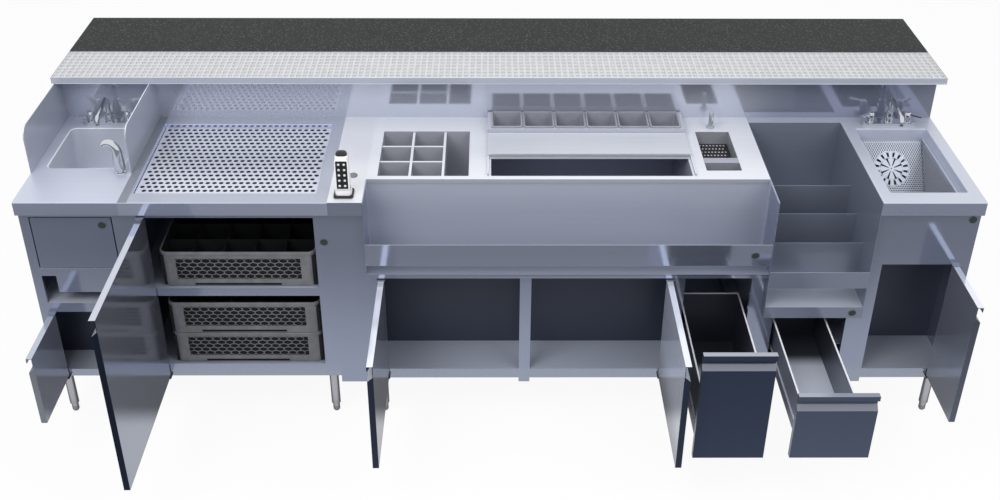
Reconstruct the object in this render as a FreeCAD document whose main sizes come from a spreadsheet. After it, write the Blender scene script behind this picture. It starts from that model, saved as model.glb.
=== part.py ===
import FreeCAD, Part
import math
import os
import types
import Sketcher

# Under-bar cocktail station: six steel modules in a row behind one bar front.
# X runs along the station, Y runs away from the bartender, Z is up from the floor.
# Depths below are counted from the counter's front edge and heights from the counter's top.

doc = FreeCAD.newDocument("CocktailStation")
cells = doc.addObject("Spreadsheet::Sheet", "Sizes")

DRIVING_SIZES = {
    # Module widths, left to right
    "hand_width": 304.8,
    "rack_width": 609.6,
    "gun_width": 101.6,
    "bar_width": 1219.2,
    "step_width": 304.8,
    "dump_width": 304.8,
    # Heights, depths and sheet gauges shared by the modules
    "counter_height": 812.8,
    "counter_depth": 564,
    "leg_height": 152.4,
    "sheet_gauge": 1.5,
    "deck_gauge": 2,
    "apron_height": 44,
    "face_set": 22,
    "frame_depth": 12,
    "base_rail": 36,
    # Doors, drawer fronts and their pivots
    "leaf_thick": 18,
    "leaf_skin": 2,
    "leaf_gap": 2,
    "leaf_rise": 12.4,
    "pull_drop": 37,
    "pull_slope": 15,
    "pull_hook": 16,
    "pivot_inset": 6,
    "pivot_radius": 2.5,
    "pivot_clear": 0.06,
    "rack_leaf": 525,
    "rack_leaf_top": 58,
    "waste_leaf": 232,
    "waste_leaf_top": 405,
    "storage_lap": 19,
    "storage_leaf_top": 279,
    "dump_leaf": 232,
    "dump_leaf_top": 224,
    "drawer_out": 377,
    "bottle_rise": 4,
    "bottle_side_drop": 140,
    "utility_rail": 13,
    "utility_leaf_gap": 9,
    "utility_side_gap": 35,
    "utility_rise": 47,
    "utility_spare": 50,
    "drawer_rise": 16,
    "drawer_side_gap": 7,
    "drawer_flange": 5,
    # Stiles and openings of the cabinet faces
    "hand_stile_left": 36.4,
    "hand_stile_right": 48.4,
    "rack_stile_left": 62,
    "rack_stile_right": 48,
    "rack_hang": 6.4,
    "store_stile": 49.4,
    "store_mullion": 35,
    "store_post": 51,
    "store_shift": 3,
    "store_hang_left": 7,
    "store_hang_right": 2,
    "draw_opening": 204,
    "draw_stile": 44.8,
    "bay_wall_set": 26,
    "stile_drop": 16,
    "left_base_lift": 9,
    "waste_bay_depth": 122,
    "store_bay_depth": 172,
    "dump_bay_depth": 199,
    "util_stile_left": 36.2,
    "util_stile_right": 39.6,
    "dump_stile_left": 39.4,
    "dump_stile_right": 45.4,
    # Bar front, drink rail and stone top
    "splash_height": 145,
    "rail_start": 505,
    "rail_depth": 206,
    "bar_top_height": 168,
    "stone_depth": 300,
    "stone_thick": 30,
    "stone_over": 8.6,
    # Sinks
    "hand_bowl_width": 229,
    "hand_bowl_start": 211,
    "hand_bowl_depth": 269,
    "hand_bowl_drop": 150,
    "dump_bowl_width": 230,
    "dump_bowl_start": 64,
    "dump_bowl_depth": 416,
    "dump_bowl_drop": 255,
    "drain_bore": 12,
    "tail_radius": 19,
    "tail_length": 65,
    "drain_flange": 40,
    "pipe_hole": 80,
    # Drainboard and glass racks
    "pan_inset_side": 28.6,
    "pan_start": 57,
    "pan_depth": 454,
    "pan_drop": 30,
    "rack_size": 476,
    "rack_height": 113.5,
    "tall_rack_height": 122,
    "rack_wall": 4,
    "rack_floor_rise": 57,
    "rack_shelf_rise": 290,
    "rack_shelf_rail": 29,
    "rack_gap": 0.3,
    # Ice bin, bottle well, rinse well and garnish tray
    "rail_set_back": 146,
    "well_strip": 33.4,
    "bin_strip_left": 69,
    "bin_strip_right": 48,
    "rinse_strip": 75.8,
    "bin_start": 164,
    "bin_depth": 386,
    "bin_drop": 230,
    "bin_wall": 12,
    "well_width": 275,
    "well_depth": 297,
    "well_drop": 190,
    "well_divider": 8,
    "rinse_width": 107,
    "rinse_start": 198,
    "rinse_depth": 261,
    "rinse_drop": 110,
    "cover_start": 271,
    "tray_start": 433,
    "tray_depth": 122,
    "tray_height": 23,
    "pan_drop_depth": 60,
    # Speed rail and bottle steps
    "speed_drop": 250,
    "speed_strip_top": 145,
    "speed_strip_foot": 219,
    "step_pitch": 105,
    "step_rise": 42,
    "step_drop": 371,
    "step_lip": 127,
    "step_foot_drop": 411,
    # Legs
    "leg_radius": 14.5,
    "leg_inset": 29,
    "foot_height": 32,
}


class Size:
    """A length: the sheet expression that drives it and its value now."""

    def __init__(self, text, value):
        self.text = text
        self.value = value

    def __add__(self, other):
        other = as_size(other)
        return Size(f"({self.text} + {other.text})", self.value + other.value)

    __radd__ = __add__

    def __sub__(self, other):
        other = as_size(other)
        return Size(f"({self.text} - {other.text})", self.value - other.value)

    def __rsub__(self, other):
        return as_size(other) - self

    def __mul__(self, factor):
        factor = as_size(factor)
        return Size(f"({self.text} * {factor.text})", self.value * factor.value)

    __rmul__ = __mul__

    def __truediv__(self, factor):
        factor = as_size(factor)
        return Size(f"({self.text} / {factor.text})", self.value / factor.value)

    def __neg__(self):
        return Size(f"(0 - {self.text})", -self.value)


def as_size(value):
    if isinstance(value, Size):
        return value
    return Size(f"({float(value):.6f})", float(value))


s = types.SimpleNamespace()
for row, (alias, number) in enumerate(DRIVING_SIZES.items(), start=1):
    cells.set(f"A{row}", alias)
    cells.set(f"B{row}", str(number))
    cells.setAlias(f"B{row}", alias)
    setattr(s, alias, Size(f"Sizes.{alias}", float(number)))
doc.recompute()

# Module boundaries along X, centred on the station
total_width = s.hand_width + s.rack_width + s.gun_width + s.bar_width + s.step_width + s.dump_width
x_hand = -total_width / 2
x_rack = x_hand + s.hand_width
x_gun = x_rack + s.rack_width
x_bar = x_gun + s.gun_width
x_step = x_bar + s.bar_width
x_dump = x_step + s.step_width
x_end = x_dump + s.dump_width

# The counter's front edge in Y, so that the open tall door and the stone top's back are equally far out
pivot_depth = s.face_set - s.leaf_gap - s.leaf_thick / 2
door_reach = s.rack_leaf - s.pivot_inset - pivot_depth
stone_start = s.rail_start + s.rail_depth
stone_end = stone_start + s.stone_depth
y_front = (door_reach - stone_end) / 2

case_foot = s.leg_height - s.counter_height
left_foot = case_foot + s.left_base_lift
stile_foot = case_foot - s.stile_drop
gauge = s.sheet_gauge
deck = s.deck_gauge
back = s.counter_depth
face = s.face_set
frame_back = face + s.frame_depth
floor_top = case_foot + s.base_rail
leaf_foot = -case_foot - s.leaf_rise

nodes = []


def bind(item, path, size):
    item.setExpression(path, as_size(size).text)


def place(item, x, y, z):
    """Moves an item to a point given in the station's own depths and heights."""
    bind(item, "Placement.Base.x", x)
    bind(item, "Placement.Base.y", y_front + y)
    bind(item, "Placement.Base.z", s.counter_height + z)
    return item


def place_local(item, x, y, z):
    """Moves an item inside a sub-assembly that is placed later."""
    bind(item, "Placement.Base.x", x)
    bind(item, "Placement.Base.y", y)
    bind(item, "Placement.Base.z", z)
    return item


def block(name, x, y, z, put=place):
    """A bound box between two limits on each axis."""
    solid = doc.addObject("Part::Box", name)
    for path, (low, high) in zip(("Length", "Width", "Height"), (x, y, z)):
        bind(solid, path, as_size(high) - low)
    return put(solid, x[0], y[0], z[0])


def rod(name, radius, height, x, y, z, put=place):
    """A bound upright cylinder."""
    solid = doc.addObject("Part::Cylinder", name)
    bind(solid, "Radius", radius)
    bind(solid, "Height", height)
    return put(solid, x, y, z)


def cut(name, base, tools):
    for number, tool in enumerate(tools):
        piece = doc.addObject("Part::Cut", f"{name}_{number}")
        piece.Base = base
        piece.Tool = tool
        base = piece
    return base


def node(label, pieces):
    """One named sub-part: a group of the separate solids it is made of."""
    group = doc.addObject("Part::Compound", label)
    group.Links = pieces
    group.Label = label
    nodes.append(group)
    return group


def shaped(name, shape, x, y, z, put=place):
    """A sub-part's solid from a shape drawn round its own origin."""
    feature = doc.addObject("Part::Feature", name)
    feature.Shape = Part.makeCompound([shape])
    feature.Placement = FreeCAD.Placement()
    return put(feature, x, y, z)


def padded(name, plane, points, length, put, at):
    """A body whose constrained outline, with no corner below zero, is padded along the plane's normal."""
    body = doc.addObject("PartDesign::Body", name)
    outline = body.newObject("Sketcher::SketchObject", name + "_outline")
    support = [item for item in body.Origin.OriginFeatures if item.Role == plane]
    outline.AttachmentSupport = (support[0], [""])
    outline.MapMode = "FlatFace"
    points = [(as_size(u), as_size(v)) for u, v in points]
    corners = [FreeCAD.Vector(u.value, v.value, 0) for u, v in points]
    count = len(points)
    for index in range(count):
        outline.addGeometry(Part.LineSegment(corners[index], corners[(index + 1) % count]), False)
    for index in range(count):
        outline.addConstraint(Sketcher.Constraint("Coincident", index, 2, (index + 1) % count, 1))
    for index, corner in enumerate(points):
        for kind, axis, size in (("DistanceX", -2, corner[0]), ("DistanceY", -1, corner[1])):
            if size.value == 0:
                outline.addConstraint(Sketcher.Constraint("PointOnObject", index, 1, axis))
                continue
            rule = outline.addConstraint(Sketcher.Constraint(kind, -1, 1, index, 1, size.value))
            outline.setExpression(f"Constraints[{rule}]", size.text)
    pad = body.newObject("PartDesign::Pad", name + "_pad")
    pad.Profile = outline
    bind(pad, "Length", length)
    return put(body, *at)


def lathe(profile):
    """A solid of revolution about Z from (radius, height) corners."""
    corners = [FreeCAD.Vector(radius, 0, height) for radius, height in profile]
    face_wire = Part.makePolygon(corners + corners[:1])
    return Part.Face(face_wire).revolve(FreeCAD.Vector(0, 0, 0), FreeCAD.Vector(0, 0, 1), 360)


def tube(points, radius, bend):
    """A round bar along a bent centre line."""
    edges = []
    start = FreeCAD.Vector(*points[0])
    for before, corner, after in zip(points, points[1:], points[2:]):
        corner = FreeCAD.Vector(*corner)
        toward = (FreeCAD.Vector(*before) - corner).normalize()
        away = (FreeCAD.Vector(*after) - corner).normalize()
        half = toward.getAngle(away) / 2
        reach = bend / math.tan(half)
        first = corner + toward * reach
        last = corner + away * reach
        middle_way = (toward + away).normalize()
        middle = corner + middle_way * (bend / math.sin(half) - bend)
        edges.append(Part.makeLine(start, first))
        edges.append(Part.Arc(first, middle, last).toShape())
        start = last
    edges.append(Part.makeLine(start, FreeCAD.Vector(*points[-1])))
    path = Part.Wire(edges)
    heading = FreeCAD.Vector(*points[1]) - FreeCAD.Vector(*points[0])
    ring = Part.Wire(Part.makeCircle(radius, FreeCAD.Vector(*points[0]), heading))
    return path.makePipeShell([ring], True, False)


def holed_plate(width, depth, thick, holes, radius):
    """A flat plate with round holes, its near left lower corner at the origin."""
    outer = Part.makePolygon([
        FreeCAD.Vector(0, 0, 0),
        FreeCAD.Vector(width, 0, 0),
        FreeCAD.Vector(width, depth, 0),
        FreeCAD.Vector(0, depth, 0),
        FreeCAD.Vector(0, 0, 0),
    ])
    wires = [outer]
    for x, y in holes:
        wires.append(Part.Wire(Part.makeCircle(radius, FreeCAD.Vector(x, y, 0))))
    sheet_face = Part.makeFace(wires, "Part::FaceMakerBullseye")
    return sheet_face.extrude(FreeCAD.Vector(0, 0, thick))


def staggered(width, depth, columns, rows, margin):
    """Hole centres in rows, each second row shifted by half a pitch."""
    pitch = (width - 2 * margin) / (columns - 0.5)
    step = (depth - 2 * margin) / (rows - 1)
    centres = []
    for row in range(rows):
        for column in range(columns):
            centres.append((margin + pitch * (column + 0.5 * (row % 2)), margin + step * row))
    return centres


def open_box(name, x, y, foot, top, wall, floor_thick, drain=None):
    """Floor and four walls of an open-topped box, given its inside limits and any drain hole's centre."""
    left, right = x
    near, far = y
    outer = (left - wall, right + wall)
    floor = block(name + "_floor", outer, (near - wall, far + wall), (foot - floor_thick, foot))
    if drain:
        hole = rod(name + "_drain_hole", s.drain_bore, floor_thick, *drain, foot - floor_thick)
        floor = cut(name + "_drained", floor, [hole])
    return [
        floor,
        block(name + "_left", (left - wall, left), y, (foot, top)),
        block(name + "_right", (right, right + wall), y, (foot, top)),
        block(name + "_near", outer, (near - wall, near), (foot, top)),
        block(name + "_far", outer, (far, far + wall), (foot, top)),
    ]


def deck_around(name, x, y, hole_x, hole_y, rise=(-deck, 0)):
    """Four strips of a flat sheet that leave one rectangular opening."""
    return [
        block(name + "_left", (x[0], hole_x[0]), y, rise),
        block(name + "_right", (hole_x[1], x[1]), y, rise),
        block(name + "_near", hole_x, (y[0], hole_y[0]), rise),
        block(name + "_far", hole_x, (hole_y[1], y[1]), rise),
    ]


def apron(name, x, end_left, end_right):
    """The deck's turned-down front edge, closed at a free end of the row."""
    fall = (-s.apron_height, -deck)
    pieces = [block(name + "_apron", x, (0, deck), fall)]
    if end_left:
        pieces.append(block(name + "_end_left", (x[0], x[0] + deck), (deck, face), fall))
    if end_right:
        pieces.append(block(name + "_end_right", (x[1] - deck, x[1]), (deck, face), fall))
    return pieces


def case(name, x, top, floor=floor_top, pipe=None, foot=case_foot):
    """Side walls, back, floor and bottom rail of a module's cabinet, with any pipe hole's centre."""
    left, right = x
    inside = (left + gauge, right - gauge)
    floor_y = (frame_back, back - gauge)
    floor_rise = (floor - gauge, floor)
    if pipe:
        hole_x = (pipe[0] - s.pipe_hole / 2, pipe[0] + s.pipe_hole / 2)
        hole_y = (pipe[1] - s.pipe_hole / 2, pipe[1] + s.pipe_hole / 2)
        floors = deck_around(name + "_floor", inside, floor_y, hole_x, hole_y, floor_rise)
    else:
        floors = [block(name + "_floor", inside, floor_y, floor_rise)]
    return floors + [
        block(name + "_side_left", (left, left + gauge), (face, back), (foot, top)),
        block(name + "_side_right", (right - gauge, right), (face, back), (foot, top)),
        block(name + "_back", inside, (back - gauge, back), (foot, top)),
        block(name + "_base_rail", inside, (face, frame_back), (foot, floor)),
    ]


def frame_bar(name, x, z):
    """A stile or rail of a cabinet's face."""
    return block(name, x, (face, frame_back), z)


def bay_back(name, x, depth, top):
    """An inner panel that closes a bay in front of its pipes."""
    return block(name, x, (depth, depth + gauge), (floor_top, top))


def leaf(name, width, height):
    """A hollow folded leaf with a finger pull along its top; x from zero, outer face at y zero."""
    thick = s.leaf_thick
    skin = s.leaf_skin
    groove = height - s.pull_drop
    points = [
        (thick, 0),
        (0, 0),
        (0, groove - s.pull_slope),
        (thick - skin, groove),
        (thick - skin, height - skin),
        (thick / 2, height - skin),
        (skin, height - s.pull_hook),
        (0, height - s.pull_hook),
        (0, height),
        (thick, height),
    ]
    body = padded(name + "_section", "YZ_Plane", points, width, place_local, (0, 0, 0))
    inside = (skin, width - skin)
    rise = (skin, groove - s.pull_slope - skin)
    hollow = block(name + "_hollow", inside, (skin, thick), rise, place_local)
    shell = cut(name + "_shell", body, [hollow])
    liner = block(name + "_liner", inside, (thick - gauge, thick), rise, place_local)
    return shell, liner


hinge_pieces = []


def door(label, width, top, pivot_x, on_left, extras=()):
    """A leaf hung on two pivots and standing open at a right angle."""
    height = leaf_foot - top
    shell, liner = leaf(label, width, height)
    pivot_local = s.pivot_inset if on_left else width - s.pivot_inset
    middle = s.leaf_thick / 2
    bore = s.pivot_radius + s.pivot_clear
    foot_bore = rod(label + "_foot_bore", bore, 12, pivot_local, middle, -2, place_local)
    top_bore = rod(label + "_top_bore", bore, 12, pivot_local, middle, height - 9, place_local)
    shell = cut(label + "_bored", shell, [foot_bore, top_bore])
    swung = doc.addObject("Part::Compound", label)
    swung.Links = [shell, liner] + list(extras)
    swung.Label = label
    turn = -90 if on_left else 90
    spin = FreeCAD.Rotation(FreeCAD.Vector(0, 0, 1), turn)
    swung.Placement = FreeCAD.Placement(FreeCAD.Vector(0, 0, 0), spin)
    if on_left:
        place(swung, pivot_x - middle, pivot_depth + pivot_local, -leaf_foot)
    else:
        place(swung, pivot_x + middle, pivot_depth - pivot_local, -leaf_foot)
    nodes.append(swung)
    hang = (pivot_x - 12, pivot_x + 12)
    arm = (pivot_depth - 7, face)
    for end, plate_low, pin_low in (("foot", -leaf_foot - 4, -leaf_foot - 1), ("top", 1 - top, -top - 5)):
        hinge_pieces.append(block(f"{label}_{end}_arm", hang, arm, (plate_low, plate_low + 3)))
        hinge_pieces.append(rod(f"{label}_{end}_pin", s.pivot_radius, 6, pivot_x, pivot_depth, pin_low))
    return swung


# Hand sink module
hand_x = (x_hand, x_rack)
hand_in = (x_hand + gauge, x_rack - gauge)
hand_mid = (x_hand + x_rack) / 2
hand_open = (x_hand + s.hand_stile_left, x_rack - s.hand_stile_right)
towel_open = (x_hand + 28.4, x_rack - 31.4)
towel_foot = -242
towel_top = -62
slot_top = -269
slot_shelf = -369
waste_top = -402
slot_back = 180
bowl_x = (hand_mid - s.hand_bowl_width / 2, hand_mid + s.hand_bowl_width / 2)
bowl_y = (s.hand_bowl_start, s.hand_bowl_start + s.hand_bowl_depth)
hand_drain_at = (hand_mid, (bowl_y[0] + bowl_y[1]) / 2)
node("hand_sink_cabinet", case("hand", hand_x, -deck, pipe=hand_drain_at, foot=left_foot) + [
    frame_bar("hand_stile_left_upper", (hand_in[0], towel_open[0]), (waste_top, -deck)),
    frame_bar("hand_stile_right_upper", (towel_open[1], hand_in[1]), (waste_top, -deck)),
    frame_bar("hand_stile_left_lower", (hand_in[0], hand_open[0]), (floor_top, waste_top)),
    frame_bar("hand_stile_right_lower", (hand_open[1], hand_in[1]), (floor_top, waste_top)),
    frame_bar("hand_top_rail", towel_open, (towel_top, -deck)),
    frame_bar("hand_slot_rail", towel_open, (slot_top, towel_foot)),
    frame_bar("hand_slot_panel", (towel_open[0] + 44, towel_open[1]), (-328, slot_top)),
    frame_bar("hand_shelf_rail", towel_open, (waste_top, slot_shelf)),
    block("hand_slot_shelf", hand_in, (frame_back, slot_back), (slot_shelf - gauge, slot_shelf)),
    block("hand_slot_back", hand_in, (slot_back, slot_back + gauge), (waste_top, towel_top)),
    block("hand_towel_floor", hand_in, (frame_back, slot_back), (slot_top, slot_top + gauge)),
    bay_back("waste_bay_back", hand_in, s.waste_bay_depth, slot_shelf - gauge),
])


def drain(name, at, floor):
    """A sink drain under a bowl's floor: a flange above a tail for the waste pipe."""
    flange_thick = 5
    bore = s.drain_bore.value
    tail = s.tail_radius.value
    flange = s.drain_flange.value
    foot = -flange_thick - s.tail_length.value
    shoulder = -flange_thick
    profile = [(bore, foot), (tail, foot), (tail, shoulder), (flange, shoulder), (flange, 0), (bore, 0)]
    return shaped(name, lathe(profile), *at, floor - gauge)


hand_drain = drain("hand_drain", hand_drain_at, -s.hand_bowl_drop)
# The soap dispenser's collar beside the bowl guides a pump head that presses down
soap_x = x_rack - 34
soap_y = 182
soap_collar = shaped(
    "soap_collar", lathe([(6.1, 0), (18, 0), (18, 5), (12, 12), (12, 30), (6.1, 30)]), soap_x, soap_y, 0
)
node("hand_sink_top", deck_around("hand_deck", hand_x, (0, back), bowl_x, bowl_y)
     + apron("hand_deck", hand_x, True, False)
     + open_box("hand_bowl", bowl_x, bowl_y, -s.hand_bowl_drop, -deck, gauge, gauge, hand_drain_at)
     + [hand_drain, soap_collar])

# Towel door: a flush panel on its own left pivots
towel_gap = 3
towel_width = towel_open[1] - towel_open[0] - 2 * towel_gap
towel_height = towel_top - towel_foot - 2 * towel_gap
towel_pivot_x = towel_open[0] + towel_gap + s.pivot_inset
towel_pivot_y = face + s.frame_depth / 2
towel_panel = block(
    "towel_panel",
    (towel_open[0] + towel_gap, towel_open[1] - towel_gap),
    (face, frame_back),
    (towel_foot + towel_gap, towel_top - towel_gap),
)
towel_pins = []
for end, low in (("foot", towel_foot), ("top", towel_top - 6)):
    spot = (towel_pivot_x, towel_pivot_y, low)
    towel_pins.append(rod(f"towel_{end}_bore", s.pivot_radius + s.pivot_clear, 6, *spot))
    hinge_pieces.append(rod(f"towel_{end}_pin", s.pivot_radius, 6, *spot))
badge_shape = lathe([(0, 0), (12.5, 0), (12.5, 1.2), (10.5, 2.4), (0, 2.4)])
badge_shape.rotate(FreeCAD.Vector(0, 0, 0), FreeCAD.Vector(1, 0, 0), 90)
towel_badge = shaped("towel_badge", badge_shape.copy(), x_rack - 63.4, face, -89)
node("towel_door", [cut("towel_bored", towel_panel, towel_pins), towel_badge])

door("waste_door", s.waste_leaf, s.waste_leaf_top, hand_open[0], True)

# Side splashes: plates with one rounded top corner
splash_start = 178
splash_top = 148
splash_round = 40
splash_run = back.value - splash_start
splash_step = s.rail_start.value - splash_start
splash_under = s.splash_height.value
round_in = splash_round * (1 - math.sqrt(0.5))
splash_corners = [
    FreeCAD.Vector(0, splash_round, splash_top),
    FreeCAD.Vector(0, splash_step, splash_top),
    FreeCAD.Vector(0, splash_step, splash_under),
    FreeCAD.Vector(0, splash_run, splash_under),
    FreeCAD.Vector(0, splash_run, 0),
    FreeCAD.Vector(0, 0, 0),
    FreeCAD.Vector(0, 0, splash_top - splash_round),
]
splash_edges = [Part.makeLine(*ends) for ends in zip(splash_corners, splash_corners[1:])]
splash_edges.append(Part.Arc(
    splash_corners[-1], FreeCAD.Vector(0, round_in, splash_top - round_in), splash_corners[0]
).toShape())
splash_plate = Part.Face(Part.Wire(splash_edges)).extrude(FreeCAD.Vector(3, 0, 0))
node("side_splashes", [
    shaped("splash_left", splash_plate.copy(), x_hand, splash_start, 0),
    shaped("splash_right", splash_plate.copy(), x_rack - 3, splash_start, 0),
])

# Drainboard and glass rack module
rack_x = (x_rack, x_gun)
rack_in = (x_rack + gauge, x_gun - gauge)
rack_open = (x_rack + s.rack_stile_left, x_gun - s.rack_stile_right)
rack_floor = case_foot + s.rack_floor_rise
rack_shelf = rack_floor + s.rack_shelf_rise
node("rack_cabinet", case("rack", rack_x, -deck, rack_floor, foot=left_foot) + [
    frame_bar("rack_stile_left", (rack_in[0], rack_open[0]), (rack_floor, -deck)),
    frame_bar("rack_stile_right", (rack_open[1], rack_in[1]), (rack_floor, -deck)),
    frame_bar("rack_top_rail", rack_open, (-64, -deck)),
    frame_bar("rack_shelf_rail", rack_open, (rack_shelf - s.rack_shelf_rail, rack_shelf)),
    block("rack_shelf", rack_in, (frame_back, back - gauge), (rack_shelf - gauge, rack_shelf)),
])

pan_x = (x_rack + s.pan_inset_side, x_gun - 37)
pan_y = (s.pan_start, s.pan_start + s.pan_depth)
node("drainboard_top", deck_around("drain_deck", rack_x, (0, back), pan_x, pan_y)
     + apron("drain_deck", rack_x, False, False)
     + open_box("drain_pan", pan_x, pan_y, -s.pan_drop, -deck, gauge, gauge))

insert_gap = 1.5
insert_thick = 2
insert_top = -14
insert_x = (pan_x[0] + insert_gap, pan_x[1] - insert_gap)
insert_y = (pan_y[0] + insert_gap, pan_y[1] - insert_gap)
insert_width = (insert_x[1] - insert_x[0]).value
insert_depth = (insert_y[1] - insert_y[0]).value
insert_plate = holed_plate(
    insert_width, insert_depth, insert_thick, staggered(insert_width, insert_depth, 26, 19, 14), 7
)
skirt = (0.3 - s.pan_drop, insert_top - insert_thick)
node("drain_insert", [
    shaped("insert_plate", insert_plate, insert_x[0], insert_y[0], insert_top - insert_thick),
    block("insert_skirt_left", (insert_x[0], insert_x[0] + 2), insert_y, skirt),
    block("insert_skirt_right", (insert_x[1] - 2, insert_x[1]), insert_y, skirt),
])

door("rack_door", s.rack_leaf, s.rack_leaf_top, rack_open[0] - s.rack_hang, True)


def glass_rack(label, foot, height):
    """An open crate with a lattice of five by five compartments."""
    wall = s.rack_wall
    left = rack_open[1] - s.rack_size - 2
    near = face + 8
    right = left + s.rack_size
    far = near + s.rack_size
    top = foot + height
    thin = 2
    pieces = [
        block(label + "_base", (left, right), (near, far), (foot, foot + 5)),
        block(label + "_near", (left, right), (near, near + wall), (foot + 5, top)),
        block(label + "_far", (left, right), (far - wall, far), (foot + 5, top)),
        block(label + "_left", (left, left + wall), (near + wall, far - wall), (foot + 5, top)),
        block(label + "_right", (right - wall, right), (near + wall, far - wall), (foot + 5, top)),
    ]
    cell = (s.rack_size - 2 * wall + thin) / 5
    lattice = (foot + 5, top - 12)
    for column in range(5):
        x_low = left + wall + cell * column
        if column < 4:
            x_bar_low = x_low + cell - thin
            run = (near + wall, far - wall)
            pieces.append(block(f"{label}_long_{column}", (x_bar_low, x_bar_low + thin), run, lattice))
        for row in range(4):
            y_low = near + wall + cell * (row + 1) - thin
            reach = (x_low, x_low + cell - thin)
            pieces.append(block(f"{label}_cross_{column}_{row}", reach, (y_low, y_low + thin), lattice))
    return node(label, pieces)


glass_rack("upper_rack", rack_shelf + s.rack_gap, s.tall_rack_height)
glass_rack("lower_rack", rack_floor + s.rack_gap, s.rack_height)
glass_rack("stacked_rack", rack_floor + s.rack_height + 2 * s.rack_gap, s.rack_height)

# Soda gun module: a closed case with the gun's holder near its front
gun_x = (x_gun, x_bar)
gun_in = (x_gun + gauge, x_bar - gauge)
gun_mid = x_gun + 45.5
node("gun_cabinet", [
    block("gun_side_left", (x_gun, x_gun + gauge), (face, back), (stile_foot, -deck)),
    block("gun_side_right", (x_bar - gauge, x_bar), (face, back), (stile_foot, -deck)),
    block("gun_back", gun_in, (back - gauge, back), (case_foot, -deck)),
    block("gun_floor", gun_in, (face + gauge, back - gauge), (case_foot, case_foot + gauge)),
    block("gun_front", gun_in, (face, face + gauge), (stile_foot, -deck)),
    block("gun_deck", gun_x, (0, back), (-deck, 0)),
] + apron("gun_deck", gun_x, False, False))

holder_y = (24, 80)
cup_y = (31, 73)
cup_x = (gun_mid - 24, gun_mid + 24)
node("gun_holder", [
    block("holder_base", (gun_mid - 29, gun_mid + 29), holder_y, (0, 6)),
    block("holder_near", cup_x, (cup_y[0], cup_y[0] + 3), (6, 22)),
    block("holder_far", cup_x, (cup_y[1] - 3, cup_y[1]), (6, 52)),
    block("holder_left", (cup_x[0], cup_x[0] + 3), (cup_y[0] + 3, cup_y[1] - 3), (6, 34)),
    block("holder_right", (cup_x[1] - 3, cup_x[1]), (cup_y[0] + 3, cup_y[1] - 3), (6, 34)),
    shaped("hose_grommet", lathe([(0, 0), (19, 0), (19, 6), (13, 9), (0, 9)]), x_gun + 62, 164, 0),
])
gun_half = 20
key_width = 33
key_height = 90
key_foot = 22.7
gun_block = Part.makeBox(2 * gun_half, 34, 118, FreeCAD.Vector(-gun_half, -17, 0))
bezel = Part.makeBox(2 * gun_half, 3.6, key_height + 6.6, FreeCAD.Vector(-gun_half, -20.6, key_foot - 3.3))
key_room = Part.makeBox(
    key_width + 0.6, 3.6, key_height + 0.6, FreeCAD.Vector(-key_width / 2 - 0.3, -20.6, key_foot - 0.3)
)
gun_block = gun_block.fuse(bezel.cut(key_room)).removeSplitter()
gun_dome = Part.makeSphere(gun_half, FreeCAD.Vector(0, 0, 0), FreeCAD.Vector(0, 0, 1), 0, 90, 360)
gun_stretch = FreeCAD.Matrix()
gun_stretch.scale(FreeCAD.Vector(1, 0.85, 1))
gun_dome = gun_dome.transformGeometry(gun_stretch)
node("soda_gun", [
    shaped("gun_body", gun_block, gun_mid, 52, 6.3),
    shaped("gun_cap", gun_dome, gun_mid, 52, 124.3),
])
keypad = Part.makeBox(key_width, 3, key_height, FreeCAD.Vector(-key_width / 2, -3, 0))
for key_row in range(5):
    for key_side in (-8, 8):
        spot = FreeCAD.Vector(key_side, -3, 10 + 17.5 * key_row)
        keypad = keypad.fuse(Part.makeCylinder(5, 1.8, spot, FreeCAD.Vector(0, -1, 0)))
node("gun_keypad", [shaped("keypad_plate", keypad.removeSplitter(), gun_mid, 33.4, 6.3 + key_foot)])

# Cocktail deck with openings for the bottle well, the ice bin and the rinse well
bar_x = (x_bar, x_step)
bar_in = (x_bar + gauge, x_step - gauge)
well_x = (x_bar + s.well_strip, x_bar + s.well_strip + s.well_width)
well_y = (s.bin_start, s.bin_start + s.well_depth)
bin_y = (s.bin_start, s.bin_start + s.bin_depth)
rinse_x = (x_step - s.rinse_strip - s.rinse_width, x_step - s.rinse_strip)
bin_x = (well_x[1] + s.bin_strip_left, rinse_x[0] - s.bin_strip_right)
rinse_y = (s.rinse_start, s.rinse_start + s.rinse_depth)
deck_y = (s.rail_set_back, back)
well_edge = (well_x[1] + bin_x[0]) / 2
rinse_edge = (bin_x[1] + rinse_x[0]) / 2 + 12
guide_y = (s.bin_start, s.tray_start)
guide_rise = 7.7
guide_left = (bin_x[0] - 12, bin_x[0] - 7)
guide_right = (bin_x[1] + 7, bin_x[1] + 12)
node("cocktail_deck",
     deck_around("well_deck", (x_bar, well_edge), deck_y, well_x, well_y)
     + deck_around("bin_deck", (well_edge, rinse_edge), deck_y, bin_x, bin_y)
     + deck_around("rinse_deck", (rinse_edge, x_step), deck_y, rinse_x, rinse_y)
     + [
         block("cover_guide_left", guide_left, guide_y, (0, guide_rise)),
         block("cover_guide_right", guide_right, guide_y, (0, guide_rise)),
     ])

node("ice_bin", open_box("ice_bin", bin_x, bin_y, -s.bin_drop, -deck, s.bin_wall, s.bin_wall))

cover_depth = s.tray_start - s.cover_start - 4
cover_run = (s.cover_start, s.cover_start + cover_depth)
front_x = (guide_left[1] + 0.5, guide_right[0] - 0.5)
rear_x = (guide_left[0], guide_right[1])
node("ice_cover_front", [
    block("front_leaf", front_x, cover_run, (0.3, 2.3)),
    block("front_lip", front_x, (s.cover_start, s.cover_start + 3), (2.3, 7)),
])
rear_run = (s.cover_start + 8, s.cover_start + 3 + cover_depth)
node("ice_cover_rear", [
    block("rear_leaf", rear_x, rear_run, (8, 10)),
    block("rear_lip", rear_x, (rear_run[0], rear_run[0] + 3), (10, 15)),
])

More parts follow.
